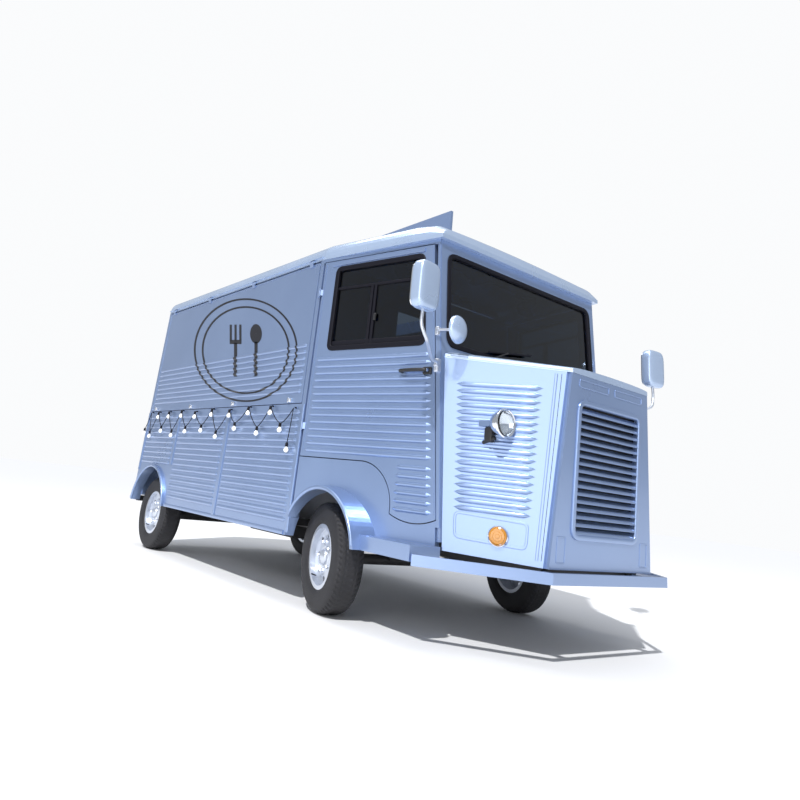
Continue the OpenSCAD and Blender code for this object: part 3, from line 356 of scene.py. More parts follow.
def surface_detail_group() -> bpy.types.NodeTree:
    """Group that gives a broad mottle, a fine grain and dust that gathers low down.

    Returns:
        A group with the outputs Mottle, Grain and Dust, each from 0 to 1.
    """
    tree = new_group("surface_detail",
                     {"Mottle Scale": 2.0, "Grain Scale": 300.0, "Dust Height": 0.6},
                     {"Mottle": "NodeSocketFloat", "Grain": "NodeSocketFloat",
                      "Dust": "NodeSocketFloat"})
    nodes, links = tree.nodes, tree.links
    start, end = nodes.new("NodeGroupInput"), nodes.new("NodeGroupOutput")
    place = nodes.new("ShaderNodeTexCoord")
    for source, target, detail in (("Mottle Scale", "Mottle", 4.0), ("Grain Scale", "Grain", 2.0)):
        noise = nodes.new("ShaderNodeTexNoise")
        noise.inputs["Detail"].default_value = detail
        links.new(place.outputs["Object"], noise.inputs["Vector"])
        links.new(start.outputs[source], noise.inputs["Scale"])
        links.new(noise.outputs["Fac"], end.inputs[target])
        if target == "Mottle":
            mottle = noise
    split = nodes.new("ShaderNodeSeparateXYZ")
    links.new(place.outputs["Object"], split.inputs["Vector"])
    fade = nodes.new("ShaderNodeMapRange")
    links.new(split.outputs["Z"], fade.inputs["Value"])
    links.new(start.outputs["Dust Height"], fade.inputs["From Max"])
    fade.inputs["To Min"].default_value = 1.0
    fade.inputs["To Max"].default_value = 0.0
    mix = nodes.new("ShaderNodeMath")
    mix.operation = "MULTIPLY"
    links.new(fade.outputs["Result"], mix.inputs[0])
    links.new(mottle.outputs["Fac"], mix.inputs[1])
    links.new(mix.outputs["Value"], end.inputs["Dust"])
    return tree


def weave_group() -> bpy.types.NodeTree:
    """Group that gives the over and under of a woven cloth as one height.

    Returns:
        A group with the output Height: the larger of two sine waves at right angles.
    """
    tree = new_group("cloth_weave", {"Threads": 700.0}, {"Height": "NodeSocketFloat"})
    nodes, links = tree.nodes, tree.links
    start, end = nodes.new("NodeGroupInput"), nodes.new("NodeGroupOutput")
    place = nodes.new("ShaderNodeTexCoord")
    waves = []
    for direction in ("X", "Z"):
        wave = nodes.new("ShaderNodeTexWave")
        wave.bands_direction = direction
        links.new(place.outputs["Object"], wave.inputs["Vector"])
        links.new(start.outputs["Threads"], wave.inputs["Scale"])
        waves.append(wave)
    top = nodes.new("ShaderNodeMath")
    top.operation = "MAXIMUM"
    links.new(waves[0].outputs["Fac"], top.inputs[0])
    links.new(waves[1].outputs["Fac"], top.inputs[1])
    links.new(top.outputs["Value"], end.inputs["Height"])
    return tree


class Texture(Enum):
    """What gives a finish its fine relief."""

    SMOOTH = "smooth"
    GRAIN = "grain"
    CLOTH = "cloth"


@dataclass(frozen=True)
class Finish:
    """One finish: the colour, gloss and relief of a surface, and the slot it stands for."""

    name: str
    slot: str
    colour: tuple[float, float, float]
    second: tuple[float, float, float]
    roughness: float = 0.4
    metallic: float = 0.0
    coat: float = 0.0
    transmission: float = 0.0
    emission: float = 0.0
    texture: Texture = Texture.GRAIN
    grain_scale: float = 300.0
    mottle_scale: float = 2.0
    bump: float = 0.05
    dust: float = 0.25
    rough_spread: float = 0.12
    specular: float = 0.5

    def build(self, detail: bpy.types.NodeTree, weave: bpy.types.NodeTree) -> bpy.types.Material:
        """Makes the material.

        Args:
            detail: The mottle, grain and dust group.
            weave: The cloth group.

        Returns:
            A material whose colour mixes two tones by the mottle and a dust tone low down.
        """
        material = bpy.data.materials.new(self.name)
        material.use_nodes = True
        nodes, links = material.node_tree.nodes, material.node_tree.links
        shader = nodes["Principled BSDF"]
        group = nodes.new("ShaderNodeGroup")
        group.node_tree = detail
        group.inputs["Mottle Scale"].default_value = self.mottle_scale
        group.inputs["Grain Scale"].default_value = self.grain_scale
        tones = nodes.new("ShaderNodeMix")
        tones.data_type = "RGBA"
        tones.inputs[6].default_value = (*self.colour, 1.0)
        tones.inputs[7].default_value = (*self.second, 1.0)
        links.new(group.outputs["Mottle"], tones.inputs[0])
        dusty = nodes.new("ShaderNodeMix")
        dusty.data_type = "RGBA"
        dusty.inputs[7].default_value = (0.30, 0.29, 0.28, 1.0)
        amount = nodes.new("ShaderNodeMath")
        amount.operation = "MULTIPLY"
        amount.inputs[1].default_value = self.dust
        links.new(group.outputs["Dust"], amount.inputs[0])
        links.new(amount.outputs["Value"], dusty.inputs[0])
        links.new(tones.outputs[2], dusty.inputs[6])
        links.new(dusty.outputs[2], shader.inputs["Base Color"])
        rough = nodes.new("ShaderNodeMapRange")
        rough.inputs["To Min"].default_value = max(0.02, self.roughness - self.rough_spread / 2)
        rough.inputs["To Max"].default_value = self.roughness + self.rough_spread / 2
        links.new(group.outputs["Mottle"], rough.inputs["Value"])
        links.new(rough.outputs["Result"], shader.inputs["Roughness"])
        shader.inputs["Metallic"].default_value = self.metallic
        shader.inputs["Coat Weight"].default_value = self.coat
        shader.inputs["Coat Roughness"].default_value = 0.08
        shader.inputs["Specular IOR Level"].default_value = self.specular
        shader.inputs["Transmission Weight"].default_value = self.transmission
        if self.emission > 0:
            shader.inputs["Emission Color"].default_value = (*self.colour, 1.0)
            shader.inputs["Emission Strength"].default_value = self.emission
        if self.texture is not Texture.SMOOTH:
            bump = nodes.new("ShaderNodeBump")
            bump.inputs["Strength"].default_value = self.bump
            bump.inputs["Distance"].default_value = 0.002
            if self.texture is Texture.CLOTH:
                cloth = nodes.new("ShaderNodeGroup")
                cloth.node_tree = weave
                links.new(cloth.outputs["Height"], bump.inputs["Height"])
            else:
                links.new(group.outputs["Grain"], bump.inputs["Height"])
            links.new(bump.outputs["Normal"], shader.inputs["Normal"])
        return material


FINISHES = (
    Finish("side_paint", "paint", (0.235, 0.325, 0.530), (0.285, 0.385, 0.600), 0.30, 0.68, 0.50,
           bump=0.03),
    # Lighter copy of the body paint for the roof, hood, hood bead, roof rivets and mirror shells:
    # painted light, the sunlit and sky-lit look of the upper faces.
    Finish("painted_sunlit_paint", "paint_light", (0.40, 0.51, 0.70), (0.47, 0.58, 0.77), 0.28, 0.55, 0.6,
           bump=0.03),
    Finish("chassis_black", "chassis_black", (0.008, 0.008, 0.010), (0.016, 0.016, 0.018), 0.55,
           dust=0.10),
    Finish("brushed_stainless", "stainless", (0.52, 0.53, 0.55), (0.62, 0.63, 0.65), 0.33, 1.0,
           dust=0.1),
    Finish("tinted_glass", "glass", (0.07, 0.10, 0.14), (0.08, 0.115, 0.16), 0.03, 0.0,
           transmission=1.0,
           texture=Texture.SMOOTH, dust=0.0, rough_spread=0.01),
    Finish("lens_glass", "glass", (0.90, 0.94, 0.97), (0.92, 0.95, 0.98), 0.05, 0.0,
           transmission=1.0,
           texture=Texture.SMOOTH, dust=0.0, rough_spread=0.01),
    Finish("black_plastic", "black_plastic", (0.012, 0.012, 0.014), (0.02, 0.02, 0.022), 0.42,
           bump=0.12,
           grain_scale=900.0),
    Finish("rubber_seal", "black_plastic", (0.004, 0.004, 0.008), (0.008, 0.008, 0.013), 0.50,
           bump=0.1,
           dust=0.0, specular=0.18),
    Finish("seat_cloth", "seat_fabric", (0.030, 0.032, 0.040), (0.050, 0.052, 0.062), 0.85,
           texture=Texture.CLOTH, bump=0.5, dust=0.0),
    Finish("polished_chrome", "lamp_bowl", (0.78, 0.80, 0.84), (0.84, 0.86, 0.90), 0.10, 1.0,
           dust=0.05,
           rough_spread=0.06, bump=0.01),
    Finish("tail_lens", "lamp_red", (0.42, 0.010, 0.012), (0.52, 0.020, 0.018), 0.12, coat=1.0,
           bump=0.05,
           grain_scale=250.0, dust=0.0),
    Finish("signal_lens", "lamp_red", (0.42, 0.16, 0.006), (0.52, 0.22, 0.010), 0.12, coat=1.0,
           bump=0.25,
           grain_scale=160.0, dust=0.0),
    Finish("bulb_opal", "bulb_white", (0.92, 0.92, 0.88), (0.96, 0.96, 0.93), 0.25, coat=0.4,
           emission=0.35,
           dust=0.0),
    Finish("tyre_rubber", "tyre", (0.007, 0.007, 0.010), (0.015, 0.015, 0.019), 0.70, bump=0.35,
           grain_scale=500.0, mottle_scale=9.0, dust=0.06),
    Finish("wheel_silver", "wheel_steel", (0.56, 0.60, 0.68), (0.66, 0.70, 0.78), 0.30, 0.75, 0.4,
           dust=0.12),
    Finish("decal_black", "black_plastic", (0.006, 0.006, 0.010), (0.010, 0.010, 0.014), 0.35,
           bump=0.02),
    Finish("plate_white", "paint_light", (0.72, 0.75, 0.78), (0.78, 0.80, 0.83), 0.40, coat=0.3,
           bump=0.03),
    Finish("mirror_face", "lamp_bowl", (0.85, 0.87, 0.90), (0.87, 0.89, 0.92), 0.03, 1.0, dust=0.0,
           texture=Texture.SMOOTH, rough_spread=0.01),
)


class Paintshop:
    """Builds every finish once and hands it out by name."""

    def __init__(self) -> None:
        """Builds the groups and the materials."""
        detail, weave = surface_detail_group(), weave_group()
        self.slots = {finish.name: finish.slot for finish in FINISHES}
        self.materials = {finish.name: finish.build(detail, weave) for finish in FINISHES}

    def dress_node(self, node: bpy.types.Object, finish: str) -> None:
        """Gives a CAD node a finish in all of its material slots."""
        if not node.material_slots:
            node.data.materials.append(self.materials[finish])
        for slot in node.material_slots:
            slot.material = self.materials[finish]

    def piece(self, name: str, surface: Surface, finish: str, body: str, smooth: bool = True,
              bevel: float = 0.0) -> bpy.types.Object:
        """Makes a finished piece of the truck from a surface.

        Args:
            name: The piece's name.
            surface: Its points and faces.
            finish: The name of its finish.
            body: The body it moves with.
            smooth: Whether its faces are shaded smooth below 35 degrees.
            bevel: Width of a bevel on its sharp edges.

        Returns:
            The object, at the origin.
        """
        points, faces = surface
        mesh = bpy.data.meshes.new(name)
        mesh.from_pydata(points.tolist(), [], faces.tolist())
        mesh.validate()
        item = bpy.data.objects.new(name, mesh)
        bpy.context.scene.collection.objects.link(item)
        tidy_mesh(mesh, smooth)
        if bevel > 0:
            edge = item.modifiers.new("edge", "BEVEL")
            edge.width = bevel
            edge.segments = 2
        mesh.materials.append(self.materials[finish])
        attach(item, body)
        log.info("%s: %d faces on %s", name, len(mesh.polygons), body)
        return item


def tidy_mesh(mesh: bpy.types.Mesh, smooth: bool) -> None:
    """Merges doubles, points the faces outwards and sets the shading.

    Args:
        mesh: The mesh to work on.
        smooth: Whether faces are shaded smooth up to the crease angle.
    """
    shape = bmesh.new()
    shape.from_mesh(mesh)
    bmesh.ops.remove_doubles(shape, verts=shape.verts, dist=MERGE_DISTANCE)
    bmesh.ops.dissolve_degenerate(shape, edges=shape.edges, dist=THIN_EDGE)
    bmesh.ops.recalc_face_normals(shape, faces=shape.faces)
    shape.to_mesh(mesh)
    shape.free()
    if smooth:
        mesh.shade_smooth()
        mesh.set_sharp_from_angle(angle=CREASE_ANGLE)


# ------------------------------------------------------------------ places on the truck


@dataclass
class Plan:
    """Main sizes and planes of the body, in metres; places come from the frame."""

    half_width: float = 1.05
    cab_length: float = 1.14
    cab_half_front: float = 0.79
    sill: float = 0.41
    belt: float = 1.27
    gutter: float = 2.33
    lean: float = math.radians(4.5)
    foot_y: float = field(init=False)
    rear_y: float = field(init=False)
    door_angle: float = field(init=False)

    def __post_init__(self) -> None:
        """Reads where the cab and the rear wall stand from the frame."""
        self.foot_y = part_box("bulkhead")[0][1] - 0.001 - self.cab_length
        self.rear_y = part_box("rear_frame")[0][1] + 0.050
        self.door_angle = math.atan((self.half_width - self.cab_half_front) / self.cab_length)

    def screen_y(self, z: float) -> float:
        """How far the front wall lies behind its foot at a height."""
        return (z - self.sill) * math.tan(self.lean)

    def cab_half(self, y: float) -> float:
        """Half width of the cab at a distance behind the windscreen foot."""
        return self.half_width - (self.cab_length - y) * math.tan(self.door_angle)

    def side(self, s: int, y: float, z: float, out: float = 0.0) -> Array:
        """A point on the side of the load body; s is -1 on the right and 1 on the left."""
        return np.array([s * (self.half_width + out), self.foot_y + y, z])

    def door(self, s: int, u: float, z: float, out: float = 0.0) -> Array:
        """A point on the door plane, u forward from the load body."""
        a = self.door_angle
        x = self.half_width - u * math.sin(a) + out * math.cos(a)
        return np.array([s * x, self.foot_y + self.cab_length - u * math.cos(a) - out * math.sin(a),
                         z])

    def door_normal(self, s: int) -> Array:
        """Outward normal of the door plane."""
        return np.array([s * math.cos(self.door_angle), -math.sin(self.door_angle), 0.0])

    def corner_u(self, z: float) -> float:
        """Where the cab's front corner lies along the door plane."""
        return (self.cab_length - self.screen_y(z)) / math.cos(self.door_angle)

    def door_front_u(self, z: float) -> float:
        """Where the door's front edge lies along the door plane."""
        return self.corner_u(z) - 0.030 - 0.020 * (z - 0.6) / 1.7

    def screen(self, x: float, z: float, out: float = 0.0) -> Array:
        """A point on the front wall, z measured upright."""
        y = self.foot_y + self.screen_y(z)
        return np.array([x, y - out * math.cos(self.lean), z + out * math.sin(self.lean)])

    def screen_normal(self) -> Array:
        """Outward normal of the front wall."""
        return np.array([0.0, -math.cos(self.lean), math.sin(self.lean)])


@dataclass
class Nose:
    """The wedge in front of the cab: one front panel and two side panels."""

    plan: Plan
    length: float = 0.535
    top: float = 1.526
    low: float = 0.466
    top_half: float = 0.386
    low_half: float = 0.484
    lean: float = math.radians(3.2)
    rear_low: float = 0.482

    def front(self, x: float, z: float, out: float = 0.0) -> Array:
        """A point on the front panel at a height."""
        y = self.plan.foot_y - self.length + (self.top - z) * math.tan(self.lean)
        return np.array([x, y - out * math.cos(self.lean), z - out * math.sin(self.lean)])

    def front_normal(self) -> Array:
        """Outward normal of the front panel."""
        return np.array([0.0, -math.cos(self.lean), -math.sin(self.lean)])

    def side(self, s: int, t: float, k: float) -> Array:
        """A point on a side panel: t from the front panel to the cab, k from foot to top."""
        x0 = self.low_half + (self.top_half - self.low_half) * k
        z0 = self.low + (self.top - self.low) * k
        z1 = self.rear_low + (self.top + 0.058 - self.rear_low) * k
        y0 = -self.length + (1 - k) * (self.top - self.low) * math.tan(self.lean)
        y1 = self.plan.screen_y(z1)
        x1 = self.plan.cab_half(0.0) - 0.014
        return np.array([s * (x0 + (x1 - x0) * t), self.plan.foot_y + y0 + (y1 - y0) * t,
                         z0 + (z1 - z0) * t])

    def side_normal(self, s: int, k: float = 0.5) -> Array:
        """Outward normal of a side panel."""
        along = self.side(s, 1.0, k) - self.side(s, 0.0, k)
        up = self.side(s, 0.5, 1.0) - self.side(s, 0.5, 0.0)
        n = unit(np.cross(along, up))
        return n * np.sign(n[0] * s)

    def side_at(self, s: int, t: float, z: float) -> Array:
        """A point on a side panel at a distance t and a height."""
        low, high = self.side(s, t, 0.0), self.side(s, t, 1.0)
        return low + (high - low) * (z - low[2]) / (high[2] - low[2])


SIDES = ((-1, "right"), (1, "left"))


# ------------------------------------------------------------------ body trim


@dataclass
class BodyTrim:
    """Pressed ribs, seams, frames, latches and rivets of the fixed body and its panels."""

    shop: Paintshop
    plan: Plan
    nose: Nose
    rib_pitch: float = 0.0405
    rib_count: int = 18
    latch_ys: tuple[float, ...] = (3.897, 3.055, 2.220, 1.343)
    latch_z: float = 1.297

    def build(self) -> None:
        """Builds every trim piece."""
        self.nose_sides()
        self.nose_front()
        self.hood_seam()
        self.mudguards()
        self.wall_posts()
        self.latches()
        self.door_trim()
        self.rear_trim()
        self.roof_trim()

    def nose_sides(self) -> None:
        """Ribs and the blank pressed field on each side of the nose."""
        for s, word in SIDES:
            n = self.nose.side_normal(s)
            ribs = []
            for i in range(self.rib_count):
                z = 1.400 - i * self.rib_pitch
                shift = 0.03 * math.sin(i * 0.35)
                a = self.nose.side_at(s, 0.20 + shift * 0.2, z)
                b = self.nose.side_at(s, 0.90, z + 0.004)
                ribs.append(pressed_rib(a, b, n, 0.0150, 0.014, 0.040))
            self.shop.piece(f"{word}_nose_ribs", join(ribs), "side_paint", "truck_body")
            field_loop = rounded_loop(np.array([self.nose.side_at(s, t, z) for t, z in
                                                ((0.22, 0.545), (0.88, 0.562), (0.88, 0.690),
                                                 (0.22, 0.672))]), 0.03)
            self.shop.piece(f"{word}_nose_field", bar(field_loop, n, 0.014, 0.004, True),
                            "side_paint", "truck_body")
            edge = np.array([self.nose.side_at(s, 0.075, z) for z in np.linspace(0.50, 1.49, 12)])
            self.shop.piece(f"{word}_nose_seam", bar(edge, n, 0.0026, 0.0008), "rubber_seal",
                            "truck_body")
            trim = np.array([self.nose.side_at(s, 0.115, z) for z in np.linspace(0.50, 1.49, 12)])
            self.shop.piece(f"{word}_nose_fold", bar(trim, n, 0.016, 0.004), "side_paint",
                            "truck_body")

    def nose_front(self) -> None:
        """Rolled frame round the cooling opening, pressed fields and tow flaps."""
        n = self.nose.front_normal()
        point = self.nose.front
        ring = rounded_loop(np.array([point(x, z) for x, z in
                                      ((-0.305, 0.632), (0.305, 0.632), (0.305, 1.352),
                                       (-0.305, 1.352))]), 0.05)
        self.shop.piece("grille_frame", bar(ring, n, 0.030, 0.010, True), "side_paint",
                        "truck_body")
        fields = []
        for x0, x1 in ((-0.314, -0.028), (0.035, 0.322)):
            loop = np.array([point(x, z)
                             for x, z in ((x0, 1.437), (x1, 1.437), (x1, 1.478), (x0, 1.478))])
            fields.append(bar(rounded_loop(loop, 0.012), n, 0.008, 0.004, True))
        for x in (-0.395, 0.395):
            loop = np.array([point(x + dx, z) for dx, z in
                             ((-0.035, 0.50), (0.035, 0.50), (0.035, 0.628), (-0.035, 0.628))])
            fields.append(bar(rounded_loop(loop, 0.008), n, 0.006, 0.003, True))
        self.shop.piece("grille_pressed_fields", join(fields), "side_paint", "truck_body")
        slats = []
        for i in range(17):
            z = 0.654 + i * 0.0403
            path = line(point(-0.287, z, 0.0), point(0.287, z, 0.0), 5)
            tilt = unit(n + 0.75 * Z_AXIS)
            slats.append(bar(path, tilt, 0.018, 0.004))
        self.shop.piece("grille_slats", join(slats), "side_paint", "truck_body")
        # A near-black sheet 30 mm behind the slats: painted shade in the cooling opening.
        back = np.array([[point(x, z, -0.030) for x in (-0.30, 0.30)] for z in (0.62, 1.37)])
        thick = np.stack([back[0], back[1], back[1] + [0, 0.004, 0], back[0] + [0, 0.004, 0]])
        self.shop.piece("grille_shade", grid_surface(thick, True, False), "rubber_seal",
                        "truck_body", False)

    def hood_seam(self) -> None:
        """Bead along each side edge of the hood."""
        beads = []
        for s, _ in SIDES:
            path = np.array([self.nose.side(s, t, 1.0) + [0, 0, -0.012]
                             for t in np.linspace(0.02, 0.98, 16)])
            beads.append(bar(path, self.nose.side_normal(s), 0.012, 0.005))
        self.shop.piece("hood_bead", join(beads), "painted_sunlit_paint", "truck_body")

    def mudguards(self) -> None:
        """Rolled edges round the four wheel arches."""
        q = np.radians(np.linspace(-4, 184, 64))
        for s, word in SIDES:
            x = s * (self.plan.half_width + 0.020)
            rear = np.stack([np.full_like(q, x), self.plan.foot_y + 3.690 + 0.403 * np.cos(q),
                             0.345 + 0.403 * np.sin(q)], axis=-1)
            rear = rear[(rear[:, 2] > 0.415) & (rear[:, 1] < self.plan.rear_y - 0.004)]
            front = np.stack([np.full_like(q, x), self.plan.foot_y + 0.810 + 0.388 * np.cos(q),
                              0.345 + 0.388 * np.sin(q)], axis=-1)
            front = front[(front[:, 2] > 0.424) & (front[:, 1] < self.plan.foot_y + 1.132)]
            out = np.array([s, 0.0, 0.0])
            beads = [tube(path - out * 0.004, 0.0125, 10) for path in (rear, front)]
            self.shop.piece(f"{word}_arch_beads", join(beads), "side_paint", "truck_body")

    def wall_posts(self) -> None:
        """Upright posts on the lower wall, corner beads and their rivets."""
        for s, word in SIDES:
            out = np.array([s, 0.0, 0.0])
            posts, heads = [], []
            for y, w in ((1.160, 0.030), (2.265, 0.050), (3.287, 0.050), (4.072, 0.030)):
                z0 = 0.43 if y < 3 else (0.775 if y < 4 else 0.70)
                posts.append(bar(line(self.plan.side(s, y, z0), self.plan.side(s, y, 1.262), 4),
                                 out, w, 0.0075))
                zs = np.arange(z0 + 0.03, 1.25, 0.075)
                heads.append(np.array([self.plan.side(s, y, z, 0.0078) for z in zs]))
            sill = line(self.plan.side(s, 1.20, 0.424), self.plan.side(s, 3.27, 0.424), 4)
            posts.append(bar(sill, out, 0.028, 0.008))
            self.shop.piece(f"{word}_wall_posts", join(posts), "side_paint", "truck_body")
            self.shop.piece(f"{word}_wall_rivets", domes(np.concatenate(heads), out, 0.0042),
                            "side_paint",
                            "truck_body")

    def latches(self) -> None:
        """Four turn latches along the foot of each side hatch, and its edge trim."""
        for s, word in SIDES:
            out = np.array([s, 0.0, 0.0])
            parts = []
            for y in self.latch_ys:
                at = self.plan.side(s, y, self.latch_z, 0.007)
                parts.append(pillow(at, [0.016, 0.052, 0.030], square=0.3, steps=16))
                parts.append(pillow(at + out * 0.012, [0.012, 0.014, 0.038], square=0.4, steps=16))
            self.shop.piece(f"{word}_hatch_latches", join(parts), "polished_chrome",
                            f"{word}_hatch")
            loop = np.array([self.plan.side(s, y, z) for y, z in
                             ((1.197, 1.283), (4.033, 1.283), (4.033, 2.310), (1.197, 2.310))])
            self.shop.piece(f"{word}_hatch_edge",
                            bar(rounded_loop(loop, 0.02), out, 0.010, 0.003, True),
                            "side_paint", f"{word}_hatch")

    def door_trim(self) -> None:
        """Pull handles, lock plates, pressed strip and seams of the cab doors."""
        for s, word in SIDES:
            n = self.plan.door_normal(s)
            body = f"{word}_door"
            z = 1.472
            u1 = self.plan.door_front_u(z) - 0.030
            grip = smooth_path(np.array([self.plan.door(s, u, z, o) for u, o in
                                         ((u1 - 0.205, 0.004), (u1 - 0.200, 0.034),
                                          (u1 - 0.10, 0.046),
                                          (u1 - 0.02, 0.038), (u1 - 0.012, 0.004))]), 6)
            axes = np.stack([unit(self.plan.door(s, 1, z) - self.plan.door(s, 0, z)), n, Z_AXIS])
            plate = pillow(self.plan.door(s, u1 - 0.02, z, 0.008), [0.060, 0.018, 0.046], axes, 0.3,
                           20)
            self.shop.piece(f"{word}_door_handle", join([tube(grip, 0.0115, 12), plate]),
                            "black_plastic", body)
            seam = np.array([self.plan.door(s, u, 2.272) for u in np.linspace(0.10, 0.90, 8)])
            ridges = [bar(seam, n, 0.026, 0.009)]
            hinge_edge = line(self.plan.door(s, 0.028, 0.96), self.plan.door(s, 0.028, 2.28), 6)
            ridges.append(bar(hinge_edge, n, 0.010, 0.003))
            front = np.array([self.plan.door(s, self.plan.door_front_u(z1) - 0.014, z1)
                              for z1 in np.linspace(0.66, 2.28, 12)])
            ridges.append(bar(front, n, 0.010, 0.003))
            self.shop.piece(f"{word}_door_ridges", join(ridges), "side_paint", body)

    def rear_trim(self) -> None:
        """Ribs, handles, lamp rims and the blank plate on the rear."""
        out = np.array([0.0, 1.0, 0.0])
        y = self.plan.rear_y
        ribs = [pressed_rib(np.array([-0.80, y, z]), np.array([0.80, y, z]), out, 0.015, 0.010,
                            0.03)
                for z in np.arange(1.36, 1.70, 0.047)]
        self.shop.piece("tailgate_ribs", join(ribs), "side_paint", "tailgate")
        loop = np.array([[x, y, z]
                         for x, z in ((-0.62, 1.78), (0.62, 1.78), (0.62, 2.18), (-0.62, 2.18))])
        self.shop.piece("tailgate_window_seal",
                        bar(rounded_loop(loop, 0.06), out, 0.030, 0.008, True),
                        "rubber_seal", "tailgate")
        pane = np.array([[[x, y + o, z] for x in (-0.61, 0.61)]
                         for z, o in ((1.79, 0.001), (2.17, 0.001))])
        block = np.stack([pane[0], pane[1], pane[1] + [0, 0.003, 0], pane[0] + [0, 0.003, 0]])
        self.shop.piece("tailgate_window", grid_surface(block, True, False), "decal_black",
                        "tailgate", False)
        for s, word in SIDES:
            body = f"rear_{word}_door"
            a, b = sorted((s * 0.06, s * 0.84))
            ribs = [pressed_rib(np.array([a, y, z]), np.array([b, y, z]), out, 0.015, 0.010, 0.03)
                    for z in np.arange(0.56, 1.20, 0.047) if not (s > 0 and 0.72 < z < 0.90)]
            self.shop.piece(f"rear_{word}_door_ribs", join(ribs), "side_paint", body)
            grip = pillow(np.array([s * 0.045, y + 0.014, 1.16]), [0.026, 0.026, 0.12], square=0.4,
                          steps=18)
            self.shop.piece(f"rear_{word}_door_handle", grip, "black_plastic", body)
        plate = pillow(np.array([0.42, y + 0.006, 0.81]), [0.52, 0.006, 0.112], square=0.08,
                       steps=40)
        self.shop.piece("rear_blank_plate", plate, "plate_white", "rear_left_door")
        rims = [revolve(np.array([[0.037, 0.0], [0.044, 0.004], [0.046, 0.014], [0.042, 0.026],
                                  [0.037, 0.025]]),
                        np.array([s * (self.plan.half_width - 0.075), y, z]), out, 32)
                for s, _ in SIDES for z in (0.74, 0.86, 0.98)]
        self.shop.piece("tail_lamp_rims", join(rims), "polished_chrome", "truck_body")

    def roof_trim(self) -> None:
        """Rivets along both sides of the roof."""
        heads = [np.array([[s * (self.plan.half_width + 0.0005), self.plan.foot_y + y,
                            self.plan.gutter + 0.012]
                           for y in np.arange(1.20, 4.05, 0.12)]) for s, _ in SIDES]
        self.shop.piece("roof_rivets", join([domes(h, np.array([s, 0, 0]), 0.004)
                                             for h, (s, _) in zip(heads, SIDES)]),
                        "painted_sunlit_paint", "truck_body")


# ------------------------------------------------------------------ decal


@dataclass
class SideDecal:
    """Two painted rings with a fork and a spoon between them, laid over the hatch ribs.

    The mark is drawn long on the wall, so that it looks round from the front corner.
    Its own coordinates are a to the front and b upwards, with the outer ring at 1.
    """

    shop: Paintshop
    plan: Plan
    along: tuple[float, float, float] = (-0.6294, 0.0535, 2.1672)
    upward: tuple[float, float, float] = (0.1476, 0.3678, 1.7443)
    depth: tuple[float, float, float] = (0.1356, -0.0469, 1.0)
    inner: float = 0.845
    line_width: float = 0.034

    def relief(self, z: Array) -> Array:
        """Height of the hatch's skin: the arc of a rib where there is one, else 0.

        Args:
            z: Heights above the ground.

        Returns:
            How far the skin stands out at each height.
        """
        first, pitch, r, sunk = self.plan.belt + 0.090, 0.047, 0.015, 0.005
        k = np.clip(np.round((z - first) / pitch), 0, 7)
        gap = np.abs(z - (first + k * pitch))
        return np.maximum(np.sqrt(np.maximum(r * r - gap ** 2, 0.0)) - sunk, 0.0)

    def lay(self, a: Array, b: Array) -> Array:
        """Puts the mark's own points onto the right hatch's skin.

        Distance along and height are each a weighted sum of a, b and 1, divided by
        a third such sum, which is how a flat mark is stretched for one viewpoint.

        Args:
            a: Places along the mark, towards the front.
            b: Places up the mark.

        Returns:
            Points on the skin of the hatch.
        """
        rows = [row[0] * a + row[1] * b + row[2] for row in (self.along, self.upward, self.depth)]
        y, z = rows[0] / rows[2], rows[1] / rows[2]
        x = -(self.plan.half_width + self.relief(z) + 0.0012)
        return np.stack([x, self.plan.foot_y + y, z], axis=-1)

    def ring(self, radius: float) -> Surface:
        """A painted ring: circles of growing radius laid on the skin."""
        q, r = np.meshgrid(np.linspace(0, 2 * np.pi, 1200, endpoint=False),
                           np.linspace(radius - self.line_width / 2, radius + self.line_width / 2,
                                       4), indexing="ij")
        return grid_surface(self.lay(r * np.cos(q), r * np.sin(q)), True, False)

    def patch(self, a: float, half: float, b0: float, b1: float) -> Surface:
        """A painted stroke of a half width between two heights."""
        v, w = np.meshgrid(np.linspace(0, 1, 120), np.linspace(-1, 1, 4), indexing="ij")
        return grid_surface(self.lay(a + w * half, b0 + (b1 - b0) * v))

    def disc(self, a: float, b: float, wide: float, high: float) -> Surface:
        """A painted oval: rings of points from its middle to its edge."""
        q, r = np.meshgrid(np.linspace(0, 2 * np.pi, 64, endpoint=False), np.linspace(0.01, 1, 16),
                           indexing="ij")
        return grid_surface(self.lay(a + wide * r * np.cos(q), b + high * r * np.sin(q)), True,
                            False)

    def build(self) -> None:
        """Builds the rings and the two pieces of cutlery."""
        marks = [self.ring(1.0), self.ring(self.inner), self.patch(-0.20, 0.030, -0.52, 0.14),
                 self.patch(-0.20, 0.115, 0.12, 0.20), self.patch(0.20, 0.030, -0.52, 0.16),
                 self.disc(0.20, 0.32, 0.115, 0.19)]
        marks += [self.patch(-0.20 + d, 0.021, 0.19, 0.50) for d in (-0.094, 0.0, 0.094)]
        self.shop.piece("side_ring_decal", join(marks), "decal_black", "right_hatch")


# ------------------------------------------------------------------ glazing


